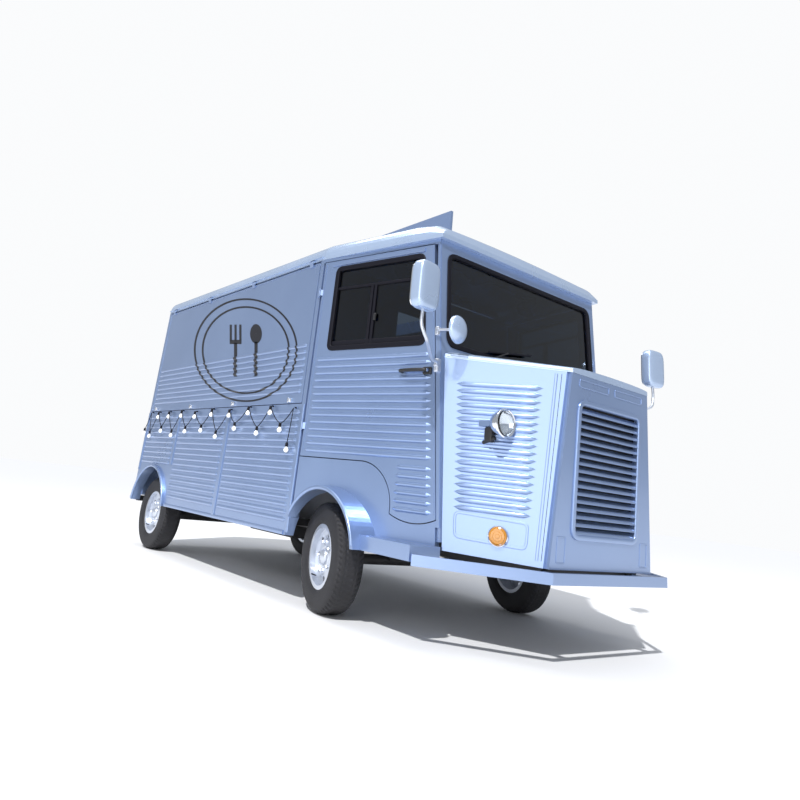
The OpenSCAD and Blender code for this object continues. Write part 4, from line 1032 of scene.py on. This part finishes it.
@dataclass
class Glazing:
    """Seals, window frames, sliding panes and wipers."""

    shop: Paintshop
    plan: Plan

    def build(self) -> None:
        """Builds the seals and the wipers."""
        self.windscreen()
        self.door_windows()
        self.wipers()

    def windscreen(self) -> None:
        """Rubber seal round the windscreen."""
        corners = np.array([self.plan.screen(x, z) for x, z in
                            ((-0.75, 1.645), (0.75, 1.645), (0.75, 2.245), (-0.75, 2.245))])
        seal = bar(rounded_loop(corners, 0.06, 8), self.plan.screen_normal(), 0.030, 0.010, True,
                   0.012)
        self.shop.piece("windscreen_seal", seal, "rubber_seal", "truck_body")

    def door_windows(self) -> None:
        """Black frame, fixed top bar and sliding pane bars of each door window."""
        for s, word in SIDES:
            n = self.plan.door_normal(s)

            def front(z: float) -> float:
                """Front edge of the window at a height."""
                return self.plan.door_front_u(z) - 0.084

            corners = np.array([self.plan.door(s, u, z) for u, z in
                                ((0.150, 1.650), (front(1.65), 1.650), (front(2.235), 2.235),
                                 (0.150, 2.235))])
            seal = bar(rounded_loop(corners, 0.035, 6), n, 0.034, 0.007, True, 0.014)
            rails = [bar(line(self.plan.door(s, 0.165, z, -0.013),
                              self.plan.door(s, front(z) - 0.015, z, -0.013), 4),
                         n, w, 0.008) for z, w in ((2.085, 0.020), (1.685, 0.034))]
            split = 0.480
            rails += [bar(line(self.plan.door(s, u, 1.66, -0.013),
                               self.plan.door(s, u, 2.085, -0.013), 4),
                          n, 0.022, 0.010) for u in (split, split + 0.030)]
            self.shop.piece(f"{word}_window_frame", join([seal] + rails), "rubber_seal",
                            f"{word}_door")
            latch = pillow(self.plan.door(s, split + 0.05, 1.85, -0.002), [0.014, 0.022, 0.050],
                           square=0.4, steps=14)
            self.shop.piece(f"{word}_pane_latch", latch, "black_plastic", f"{word}_door")

    def wipers(self) -> None:
        """Two wipers: an arm with a bend and a blade with its rubber."""
        n = self.plan.screen_normal()
        parts, blades = [], []
        for x in (-0.42, 0.30):
            at = self.plan.screen
            parts.append(revolve(np.array([[0.0, 0.030], [0.012, 0.028], [0.016, 0.016],
                                           [0.018, 0.0]]),
                                 at(x, 1.618), n, 20))
            arm = smooth_path(np.array([at(x, 1.618, 0.024), at(x + 0.06, 1.64, 0.034),
                                        at(x + 0.20, 1.70, 0.026)]), 6)
            parts.append(tube(arm, 0.0048, 8))
            blade = line(at(x + 0.02, 1.672, 0.017), at(x + 0.44, 1.735, 0.017), 12)
            blades.append(bar(blade, n, 0.012, 0.009, sink=0.006))
        self.shop.piece("wiper_arms", join(parts), "black_plastic", "truck_body")
        self.shop.piece("wiper_blades", join(blades), "rubber_seal", "truck_body")


# ------------------------------------------------------------------ lamps and mirrors


@dataclass
class Lamps:
    """Headlamps with bowl, rim, reflector and lens, and the two turn signals."""

    shop: Paintshop
    nose: Nose
    radius: float = 0.076
    signal_radius: float = 0.050

    def build(self) -> None:
        """Builds both sides and puts the set in place of the plain lamps."""
        bowls, lenses, ambers, rims, stays = [], [], [], [], []
        forward = np.array([0.0, -1.0, 0.0])
        for s, _ in SIDES:
            back = self.nose.side(s, 0.62, 0.66) + [s * 0.020, -0.045, 0.0]
            back[2] = 1.180
            r = self.radius
            q = np.linspace(0, 1, 14)
            bowl = np.stack([0.004 + (r - 0.006) * np.sin(q * np.pi / 2) ** 0.75,
                             0.088 * q ** 1.15], axis=-1)
            inner = np.array([[r - 0.006, 0.092], [r - 0.018, 0.070], [0.030, 0.046], [0.0, 0.040]])
            profile = np.concatenate([[[0.0, 0.0]], bowl, inner])
            bowls.append(revolve(profile, back, forward, 48))
            stays.append(pillow(back + [0, 0.012, -0.062], [0.034, 0.055, 0.085], square=0.35,
                                steps=20))
            stays.append(tube(line(back + [0, -0.03, -0.080], back + [0, 0.055, -0.105], 4), 0.011,
                              12))
            a = np.linspace(0, np.pi, 9)
            ring = np.stack([r - 0.001 + 0.008 * np.cos(a * 2), 0.098 + 0.010 * np.sin(a * 2)],
                            axis=-1)
            rims.append(revolve(ring, back, forward, 48))
            t = np.linspace(0, 1, 10)
            dome = np.stack([(r - 0.006) * np.cos(t * np.pi / 2),
                             0.101 + 0.018 * np.sin(t * np.pi / 2)], axis=-1)
            disc = np.concatenate([[[0.0, 0.097], [r - 0.006, 0.097]], dome])
            lenses.append(revolve(disc, back, forward, 48))
            n = self.nose.side_normal(s, 0.11)
            n = unit(np.array([n[0], n[1], 0.0]))
            at = self.nose.side(s, 0.47, 0.11) + n * 0.0145
            k = self.signal_radius
            rings = np.array([[0.0, 0.030], [k * 0.20, 0.0297], [k * 0.24, 0.0275],
                              [k * 0.45, 0.0275],
                              [k * 0.49, 0.0255], [k * 0.74, 0.0245], [k * 0.78, 0.020], [k * 0.92,
                                                                                          0.017],
                              [k * 0.97, 0.012], [k * 0.97, 0.0], [0.0, 0.0]])
            ambers.append(revolve(rings, at, n, 40))
            rims.append(revolve(np.array([[k * 0.97, 0.0], [k * 1.06, 0.0], [k * 1.06, 0.006],
                                          [k * 0.98, 0.009]]),
                                at, n, 40))
        bowl_set = self.shop.piece("headlamp_bowls", join(bowls), "polished_chrome", "truck_body")
        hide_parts("front_lamps")
        self.shop.piece("headlamp_stays", join(stays), "black_plastic", "truck_body")
        self.shop.piece("lamp_rims", join(rims), "polished_chrome", "truck_body")
        self.shop.piece("headlamp_lenses", join(lenses), "lens_glass", "truck_body")
        self.shop.piece("turn_signals", join(ambers), "signal_lens", "truck_body")


@dataclass
class Mirrors:
    """Round-edged mirror heads on bent tubes, and the small round mirror."""

    shop: Paintshop
    plan: Plan
    height: float = 0.280
    width: float = 0.180

    def build(self) -> None:
        """Builds both mirrors and puts them in place of the plain ones."""
        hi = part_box("side_mirrors")[1]
        x = hi[0] - self.width / 2 - 0.002
        y = self.plan.foot_y - 0.130
        shells, faces, arms = [], [], []
        for s, _ in SIDES:
            turn = math.radians(-8 * s)
            axes = np.array([[math.cos(turn), math.sin(turn), 0],
                             [-math.sin(turn), math.cos(turn), 0], [0, 0, 1]])
            centre = np.array([s * x, y - 0.006, 1.860])
            shells.append(pillow(centre, [self.width * 0.97, 0.090, self.height], axes, 0.42, 40))
            faces.append(pillow(centre + axes[1] * 0.040,
                                [self.width * 0.86, 0.014, self.height * 0.90], axes, 0.35, 32))
            base = self.plan.door(s, self.plan.corner_u(1.5) - 0.015, 1.500, 0.022)
            route = np.array([base, base + [s * 0.035, -0.035, 0.012],
                              [s * 0.960, self.plan.foot_y + 0.010, 1.508],
                              [s * (x - 0.055), y + 0.004, 1.556], [s * x, y, 1.640], [s * x, y,
                                                                                       1.730]])
            arms.append(tube(smooth_path(route, 8), 0.0095, 12))
            n = self.plan.door_normal(s)
            frame = np.stack([unit(np.cross(Z_AXIS, n)), n, Z_AXIS])
            at = self.plan.door(s, self.plan.corner_u(1.5) - 0.015, 1.500, 0.012)
            arms.append(pillow(at, [0.030, 0.040, 0.084], frame, 0.3, 20))
            arms.append(pillow(at + n * 0.012, [0.030, 0.030, 0.020], frame, 0.5, 16))
        z = 1.715
        spot = np.array([-0.850, self.plan.foot_y - 0.075, z - 0.020])
        base = self.plan.door(-1, self.plan.corner_u(z) - 0.015, z, 0.010)
        arms.append(tube(smooth_path(np.array([base, base + [-0.02, -0.03, 0.0],
                                               spot + [0, 0.012, 0]]), 6), 0.009, 10))
        n = self.plan.door_normal(-1)
        arms.append(pillow(base, [0.024, 0.030, 0.056],
                           np.stack([unit(np.cross(Z_AXIS, n)), n, Z_AXIS]), 0.3, 18))
        t = np.linspace(0, 1, 10)
        cup = np.stack([0.084 * np.sin(t * np.pi / 2), 0.040 * np.cos(t * np.pi / 2)], axis=-1)
        shells.append(revolve(np.concatenate([cup, [[0.084, -0.006], [0.0, -0.006]]]), spot,
                              np.array([0.2, -1, 0]), 40))
        faces.append(revolve(np.array([[0.0, -0.0075], [0.077, -0.0072], [0.077, -0.003],
                                       [0.0, -0.003]]), spot,
                             np.array([0.2, -1, 0]), 40))
        shell = self.shop.piece("mirror_shells", join(shells), "painted_sunlit_paint", "truck_body")
        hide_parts("side_mirrors")
        self.shop.piece("mirror_glasses", join(faces), "mirror_face", "truck_body")
        self.shop.piece("mirror_arms", join(arms), "wheel_silver", "truck_body")


# ------------------------------------------------------------------ wheels


@dataclass
class Wheel:
    """One wheel: a treaded tyre, wheel nuts, hub cap and valve."""

    shop: Paintshop
    name: str
    centre: Array
    axis: Array
    outboard: float
    radius: float = 0.325
    width: float = 0.185
    bead: float = 0.179
    around: int = 240

    def build(self) -> None:
        """Builds the pieces of the wheel on its body."""
        body = f"{self.name}_wheel"
        tyre = self.shop.piece(f"{self.name}_tread", self.tyre(), "tyre_rubber", body)
        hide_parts(f"{self.name}_tyre")
        out = self.axis * self.outboard
        a = unit(np.cross(out, Z_AXIS))
        b = np.cross(out, a)
        nuts = []
        for k in range(5):
            q = 2 * np.pi * k / 5
            at = self.centre + out * 0.036 + 0.088 * (math.cos(q) * a + math.sin(q) * b)
            nuts.append(revolve(np.array([[0.0, 0.024], [0.007, 0.023], [0.0105, 0.018],
                                          [0.0115, 0.0], [0.017, -0.003]]),
                                at, out, 6))
        t = np.linspace(0, 1, 8)
        cap = np.stack([0.046 * np.sin(t * np.pi / 2), 0.048 + 0.026 * np.cos(t * np.pi / 2)],
                       axis=-1)
        nuts.append(revolve(np.concatenate([cap, [[0.052, 0.049]]]), self.centre, out, 36))
        self.shop.piece(f"{self.name}_nuts", join(nuts), "wheel_silver", body)
        foot = self.centre + out * 0.050 + 0.155 * (0.6 * a + 0.8 * b)
        stem = line(foot, foot + out * 0.034 - (0.6 * a + 0.8 * b) * 0.012, 4)
        self.shop.piece(f"{self.name}_valve", tube(stem, 0.004, 10), "rubber_seal", body)

    def tyre(self) -> Surface:
        """The tyre: a squared ring whose outer band is cut by grooves and slots.

        Round the section, width and radius are powers of cos and sin; the tread is
        lowered where a groove runs round it and where a slot crosses its shoulders.
        """
        middle = (self.radius + self.bead) / 2
        p, q = np.meshgrid(np.linspace(0, 2 * np.pi, 72, endpoint=False),
                           np.linspace(0, 2 * np.pi, self.around, endpoint=False), indexing="ij")
        c, s = np.cos(p), np.sin(p)
        w = np.sign(c) * np.abs(c) ** 0.55 * self.width / 2
        r = middle + np.sign(s) * np.abs(s) ** 0.55 * (self.radius - self.bead) / 2
        share = w / (self.width / 2)
        band = np.clip((r - self.radius + 0.022) / 0.010, 0, 1)
        ring_groove = np.maximum.reduce([np.exp(-((share - k) / 0.045) ** 4)
                                         for k in (-0.42, 0.0, 0.42)])
        block = np.sin(q * 60 + 3.0 * np.abs(share) * np.pi) > 0.55
        slot = block & (np.abs(share) > 0.48)
        sipe = (np.sin(q * 60 + 6.0 * share) > 0.93) & (np.abs(share) < 0.40)
        cut = np.maximum.reduce([ring_groove * 0.0075, slot * 0.0065, sipe * 0.004])
        r = r - band * cut
        ridge = (0.0012 * np.exp(-((r - 0.296) / 0.0020) ** 2)
                 + 0.0010 * np.exp(-((r - 0.215) / 0.0020) ** 2))
        w = w + np.sign(w) * ridge
        a = unit(np.cross(self.axis, Z_AXIS))
        b = np.cross(self.axis, a)
        points = (self.centre + w[..., None] * self.axis
                  + r[..., None] * (np.cos(q)[..., None] * a + np.sin(q)[..., None] * b))
        return grid_surface(points, True, True)


# ------------------------------------------------------------------ festoon lights


@dataclass
class Festoon:
    """The string of lights along the right side: sagging cable, sockets, bulbs and clips."""

    shop: Paintshop
    plan: Plan
    out: float = 0.029
    drops: tuple[tuple[float, float], ...] = (
        (4.060, 0.170), (3.960, 0.015), (3.905, 0.200), (3.765, 0.015), (3.625, 0.150), (3.495,
                                                                                         0.015),
        (3.350, 0.190), (3.195, 0.012), (3.045, 0.155), (2.890, 0.025), (2.710, 0.145), (2.550,
                                                                                         0.012),
        (2.405, 0.195), (2.220, 0.025), (2.090, 0.130), (1.900, 0.012), (1.720, 0.165), (1.560,
                                                                                         0.015),
        (1.390, 0.140), (1.240, 0.035), (1.262, 0.275))
    bare: tuple[int, ...] = (1, 19)

    def build(self) -> None:
        """Builds the string and puts it in place of the plain cable and bulbs."""
        knots = np.array([self.plan.side(-1, y, self.plan.belt - d, self.out)
                          for y, d in self.drops])
        stretches = []
        for a, b in zip(knots[:-1], knots[1:]):
            path = line(a, b, 9)
            t = np.linspace(0, 1, 9)
            path[:, 2] -= 0.018 * 4 * t * (1 - t)
            stretches.append(path[:-1])
        route = np.concatenate(stretches + [knots[-1:]])
        cable = self.shop.piece("festoon_lead", tube(route, 0.0032, 8), "rubber_seal", "truck_body")
        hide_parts("festoon_cable")
        sockets, bulbs, clips = [], [], []
        down = np.array([0.0, 0.0, -1.0])
        socket = np.array([[0.0, -0.006], [0.007, -0.005], [0.0105, 0.002], [0.0105, 0.018],
                           [0.0115, 0.019],
                           [0.0115, 0.024], [0.0, 0.024]])
        t = np.linspace(0.08, 1, 12)
        globe = np.stack([0.0168 * np.sin(np.pi * t), 0.0455 - 0.017 * np.cos(np.pi * t)], axis=-1)
        bulb = np.concatenate([[[0.0, 0.024], [0.0085, 0.0245], [0.0085, 0.030]], globe[2:]])
        for i, knot in enumerate(knots):
            if i not in self.bare:
                sockets.append(revolve(socket, knot, down, 16))
                bulbs.append(revolve(bulb, knot, down, 20))
            if i % 2 == 1:
                pin = knot + [0.0055, 0.0, 0.0053]
                loop = line(pin, pin + [self.out - 0.0075, 0.0, 0.0], 3)
                clips.append(tube(loop, 0.0055, 8))
        self.shop.piece("festoon_sockets", join(sockets), "rubber_seal", "truck_body")
        globes = self.shop.piece("festoon_globes", join(bulbs), "bulb_opal", "truck_body")
        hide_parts("festoon_bulbs")
        self.shop.piece("festoon_clips", join(clips), "rubber_seal", "truck_body")


# ------------------------------------------------------------------ seats


@dataclass
class Seats:
    """Two cab seats: crowned cushions with sewn channels, piping and a steel base."""

    shop: Paintshop
    plan: Plan
    middle: float = 0.400
    floor: float = 0.760

    def cushion(self, centre: Array, size: Array, axes: Array, channels: int) -> Surface:
        """A crowned pad: a rounded box whose top swells and dips along sewn channels.

        With x and y from -1 to 1 across the pad, the face rises by 14 mm times
        cos(pi x / 2) cos(pi y / 2), less narrow bell curves at the channels.

        Args:
            centre: Middle of the pad.
            size: Width, depth and thickness.
            axes: Directions of the three sizes, one in each row.
            channels: Number of sewn channels.

        Returns:
            The pad as a closed surface.
        """
        points, faces = pillow(np.zeros(3), size, None, 0.40, 96)
        share = points / (np.asarray(size) / 2)
        crown = 0.014 * np.cos(share[:, 0] * np.pi / 2) * np.cos(share[:, 1] * np.pi / 2)
        lines = np.linspace(-0.6, 0.6, channels)
        seam = np.sum([np.exp(-((share[:, 0] - k) / 0.035) ** 2) for k in lines], axis=0)
        top = np.clip(share[:, 2] * 2, -1, 1)
        points[:, 2] += top * (crown - 0.006 * seam)
        side = np.clip(1 - np.abs(share[:, 2]) ** 2, 0, 1)[:, None]
        points[:, :2] *= 1 - 0.035 * side * (np.abs(share[:, :1] * share[:, 1:2]) < 0.6)
        return centre + points @ axes, faces

    def build(self) -> None:
        """Builds cushions, backs and bases, and puts them in place of the plain seats."""
        bases, first = [], None
        tilt = math.atan(0.10)
        lean = np.array([[1, 0, 0], [0, math.sin(tilt), math.cos(tilt)],
                         [0, -math.cos(tilt), math.sin(tilt)]])
        for x, word in ((-self.middle, "right"), (self.middle, "left")):
            y = self.plan.foot_y
            pad = self.cushion(np.array([x, y + 0.810, self.floor + 0.300]), [0.47, 0.47, 0.120],
                               np.eye(3), 4)
            back = self.cushion(np.array([x, y + 1.040, self.floor + 0.600]), [0.46, 0.54, 0.095],
                                lean, 4)
            seat = self.shop.piece(f"{word}_seat_cushion", pad, "seat_cloth", "truck_body")
            rest = self.shop.piece(f"{word}_seat_back", back, "seat_cloth", "truck_body")
            first = first or seat
            bases.append(pillow(np.array([x, y + 0.84, self.floor + 0.120]), [0.38, 0.40, 0.238],
                                None, 0.12, 32))
            loop = rounded_loop(np.array([[x + a, y + 0.810 + b, self.floor + 0.298] for a, b in
                                          ((-0.226, -0.226), (0.226, -0.226), (0.226, 0.226),
                                           (-0.226, 0.226))]), 0.05)
            closed = np.concatenate([loop, loop[:1]])
            self.shop.piece(f"{word}_seat_piping", tube(closed, 0.0045, 8), "black_plastic",
                            "truck_body")
        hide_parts("cab_seats")
        self.shop.piece("seat_bases", join(bases), "chassis_black", "truck_body")


# ------------------------------------------------------------------ underside


@dataclass
class Underbody:
    """Leaf springs, dampers and exhaust below the floor."""

    shop: Paintshop
    plan: Plan

    def build(self) -> None:
        """Builds the springs and the exhaust."""
        parts = []
        for s, _ in SIDES:
            for node, half in (("front_axle", 0.36), ("rear_axle", 0.42)):
                lo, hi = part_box(node)
                y = (lo[1] + hi[1]) / 2
                for k in range(3):
                    t = np.linspace(-1, 1, 15)
                    reach = half * (1 - 0.25 * k)
                    path = np.stack([np.full_like(t, s * 0.420), y + reach * t,
                                     0.372 - 0.010 * k + 0.045 * (reach * t / half) ** 2], axis=-1)
                    parts.append(bar(path, Z_AXIS, 0.055, 0.008))
                parts.append(tube(line([s * 0.36, y + 0.07, 0.33], [s * 0.33, y + 0.12, 0.50], 4),
                                  0.022, 12))
        self.shop.piece("leaf_springs", join(parts), "chassis_black", "truck_body")
        y = self.plan.foot_y
        pipe = smooth_path(np.array([[0.20, y + 0.05, 0.50], [0.24, y + 0.5, 0.38],
                                     [0.30, y + 1.2, 0.36],
                                     [0.30, y + 1.9, 0.36], [0.38, y + 3.0, 0.37], [0.40, y + 3.30,
                                                                                    0.375]]), 8)
        muffler = pillow(np.array([0.30, y + 1.62, 0.355]), [0.17, 0.52, 0.11], None, 0.45, 32)
        self.shop.piece("exhaust", join([tube(pipe, 0.024, 14), muffler]), "brushed_stainless",
                        "truck_body")


# ------------------------------------------------------------------ studio


@dataclass
class Studio:
    """Camera, floor, sky and lights."""

    place: tuple[float, float, float] = (-3.516, -4.533, 0.737)
    azimuth: float = -35.77
    elevation: float = 17.64
    roll: float = 6.76
    focal: float = 655.3
    centre: tuple[float, float] = (358.1, 281.2)
    picture: float = 800.0

    def build(self) -> None:
        """Builds the camera, the floor and the lights."""
        self.camera()
        self.floor()
        self.lights()

    def camera(self) -> None:
        """Camera whose turn is made of a heading, a look upwards and a roll."""
        az, el, ro = (math.radians(v) for v in (self.azimuth, self.elevation, self.roll))
        ahead = Vector((-math.sin(az) * math.cos(el), math.cos(az) * math.cos(el), math.sin(el)))
        right = ahead.cross(Vector((0, 0, 1))).normalized()
        up = right.cross(ahead)
        right, up = (right * math.cos(ro) + up * math.sin(ro),
                     up * math.cos(ro) - right * math.sin(ro))
        data = bpy.data.cameras.new("camera")
        data.sensor_width = 36.0
        data.lens = self.focal / self.picture * data.sensor_width
        data.shift_x = (self.picture / 2 - self.centre[0]) / self.picture
        data.shift_y = (self.centre[1] - self.picture / 2) / self.picture
        data.clip_end = 200.0
        camera = bpy.data.objects.new("camera", data)
        turn = Matrix((right, up, -ahead)).transposed().to_4x4()
        camera.matrix_world = Matrix.Translation(Vector(self.place)) @ turn
        bpy.context.scene.collection.objects.link(camera)
        bpy.context.scene.camera = camera

    def floor(self) -> None:
        """A large pale floor."""
        points = np.array([[[x, y, 0.0] for x in (-60, 60)] for y in (-60, 60)], float)
        mesh = bpy.data.meshes.new("floor")
        points, faces = grid_surface(points)
        mesh.from_pydata(points.tolist(), [], faces.tolist())
        floor = bpy.data.objects.new("floor", mesh)
        material = bpy.data.materials.new("pale_floor")
        material.use_nodes = True
        shader = material.node_tree.nodes["Principled BSDF"]
        shader.inputs["Base Color"].default_value = (0.86, 0.86, 0.87, 1.0)
        shader.inputs["Roughness"].default_value = 0.65
        mesh.materials.append(material)
        bpy.context.scene.collection.objects.link(floor)

    def lights(self) -> None:
        """A pale sky, a sun from the kerb side, and a card that the nose reflects."""
        world = bpy.data.worlds.new("sky")
        bpy.context.scene.world = world
        world.use_nodes = True
        nodes, links = world.node_tree.nodes, world.node_tree.links
        sky = nodes["Background"]
        sky.inputs["Color"].default_value = (0.88, 0.93, 1.0, 1.0)
        sky.inputs["Strength"].default_value = 0.46
        backdrop = nodes.new("ShaderNodeBackground")
        backdrop.inputs["Strength"].default_value = 1.0
        backdrop.inputs["Color"].default_value = (0.96, 0.97, 0.98, 1.0)
        seen, choice = nodes.new("ShaderNodeLightPath"), nodes.new("ShaderNodeMixShader")
        links.new(seen.outputs["Is Camera Ray"], choice.inputs[0])
        links.new(sky.outputs["Background"], choice.inputs[1])
        links.new(backdrop.outputs["Background"], choice.inputs[2])
        links.new(choice.outputs["Shader"], nodes["World Output"].inputs["Surface"])
        for name, place, size, power in (("card", (-9.5, -6.0, 2.6), 6.0, 260.0),
                                         ("top", (-1.0, 0.5, 9.0), 6.0, 420.0)):
            data = bpy.data.lights.new(name, "AREA")
            data.size = size
            data.energy = power
            light = bpy.data.objects.new(name, data)
            light.location = place
            light.rotation_euler = (
                Vector((0, -1.0, 1.0)) - Vector(place)).to_track_quat("-Z", "Y").to_euler()
            bpy.context.scene.collection.objects.link(light)
        data = bpy.data.lights.new("sun", "SUN")
        data.energy = 3.4
        data.angle = math.radians(1.5)
        sun = bpy.data.objects.new("sun", data)
        sun.rotation_euler = Vector((5.0, 3.4, -6.5)).to_track_quat("-Z", "Y").to_euler()
        bpy.context.scene.collection.objects.link(sun)
        bpy.context.scene.view_settings.view_transform = "Standard"


# ------------------------------------------------------------------ putting it together


NODE_FINISHES = {
    "brushed_stainless": ("floor_pan", "kitchen_units"),
    # The roof and hood get the lighter copy of the body paint: painted light on the upper faces.
    "painted_sunlit_paint": ("roof_panel", "hood_panel"),
    "chassis_black": ("chassis_frame", "front_axle", "rear_axle", "right_knuckle", "left_knuckle",
                      "rear_step", "fuel_tank", "engine_block"),
    "tinted_glass": ("windscreen", "right_door_glass", "left_door_glass"),
    "black_plastic": ("dashboard",),
    "tail_lens": ("tail_lamps",),
    "wheel_silver": ("front_right_rim", "front_left_rim", "rear_right_rim", "rear_left_rim"),
}


def dress_nodes(frame: dict, shop: Paintshop) -> None:
    """Gives every CAD node its finish; body paint where no other is named."""
    named = {node: finish for finish, nodes in NODE_FINISHES.items() for node in nodes}
    for name, node in frame["nodes"].items():
        shop.dress_node(node, named.get(name, "side_paint"))


def build_wheels(frame: dict, shop: Paintshop) -> None:
    """Builds the four wheels at the places and axes of their joints."""
    for joint in frame["joints"]:
        if joint["child"].endswith("_wheel"):
            name = joint["child"].removesuffix("_wheel")
            centre, axis = np.array(joint["pos_m"]), unit(np.array(joint["axis"], float))
            outboard = float(np.sign(centre[0]) * np.sign(axis[0]))
            Wheel(shop, name, centre, axis, outboard).build()


def main() -> None:
    """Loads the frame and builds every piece."""
    logging.basicConfig(level=logging.INFO, format="%(message)s")
    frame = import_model()
    shop, plan = Paintshop(), Plan()
    nose = Nose(plan)
    Studio().build()
    dress_nodes(frame, shop)
    build_wheels(frame, shop)
    for part in (BodyTrim(shop, plan, nose), SideDecal(shop, plan), Glazing(shop, plan),
                 Lamps(shop, nose),
                 Mirrors(shop, plan), Festoon(shop, plan), Seats(shop, plan), Underbody(shop,
                                                                                        plan)):
        part.build()
        log.info("%s built", type(part).__name__)


if __name__ == "__main__":
    main()
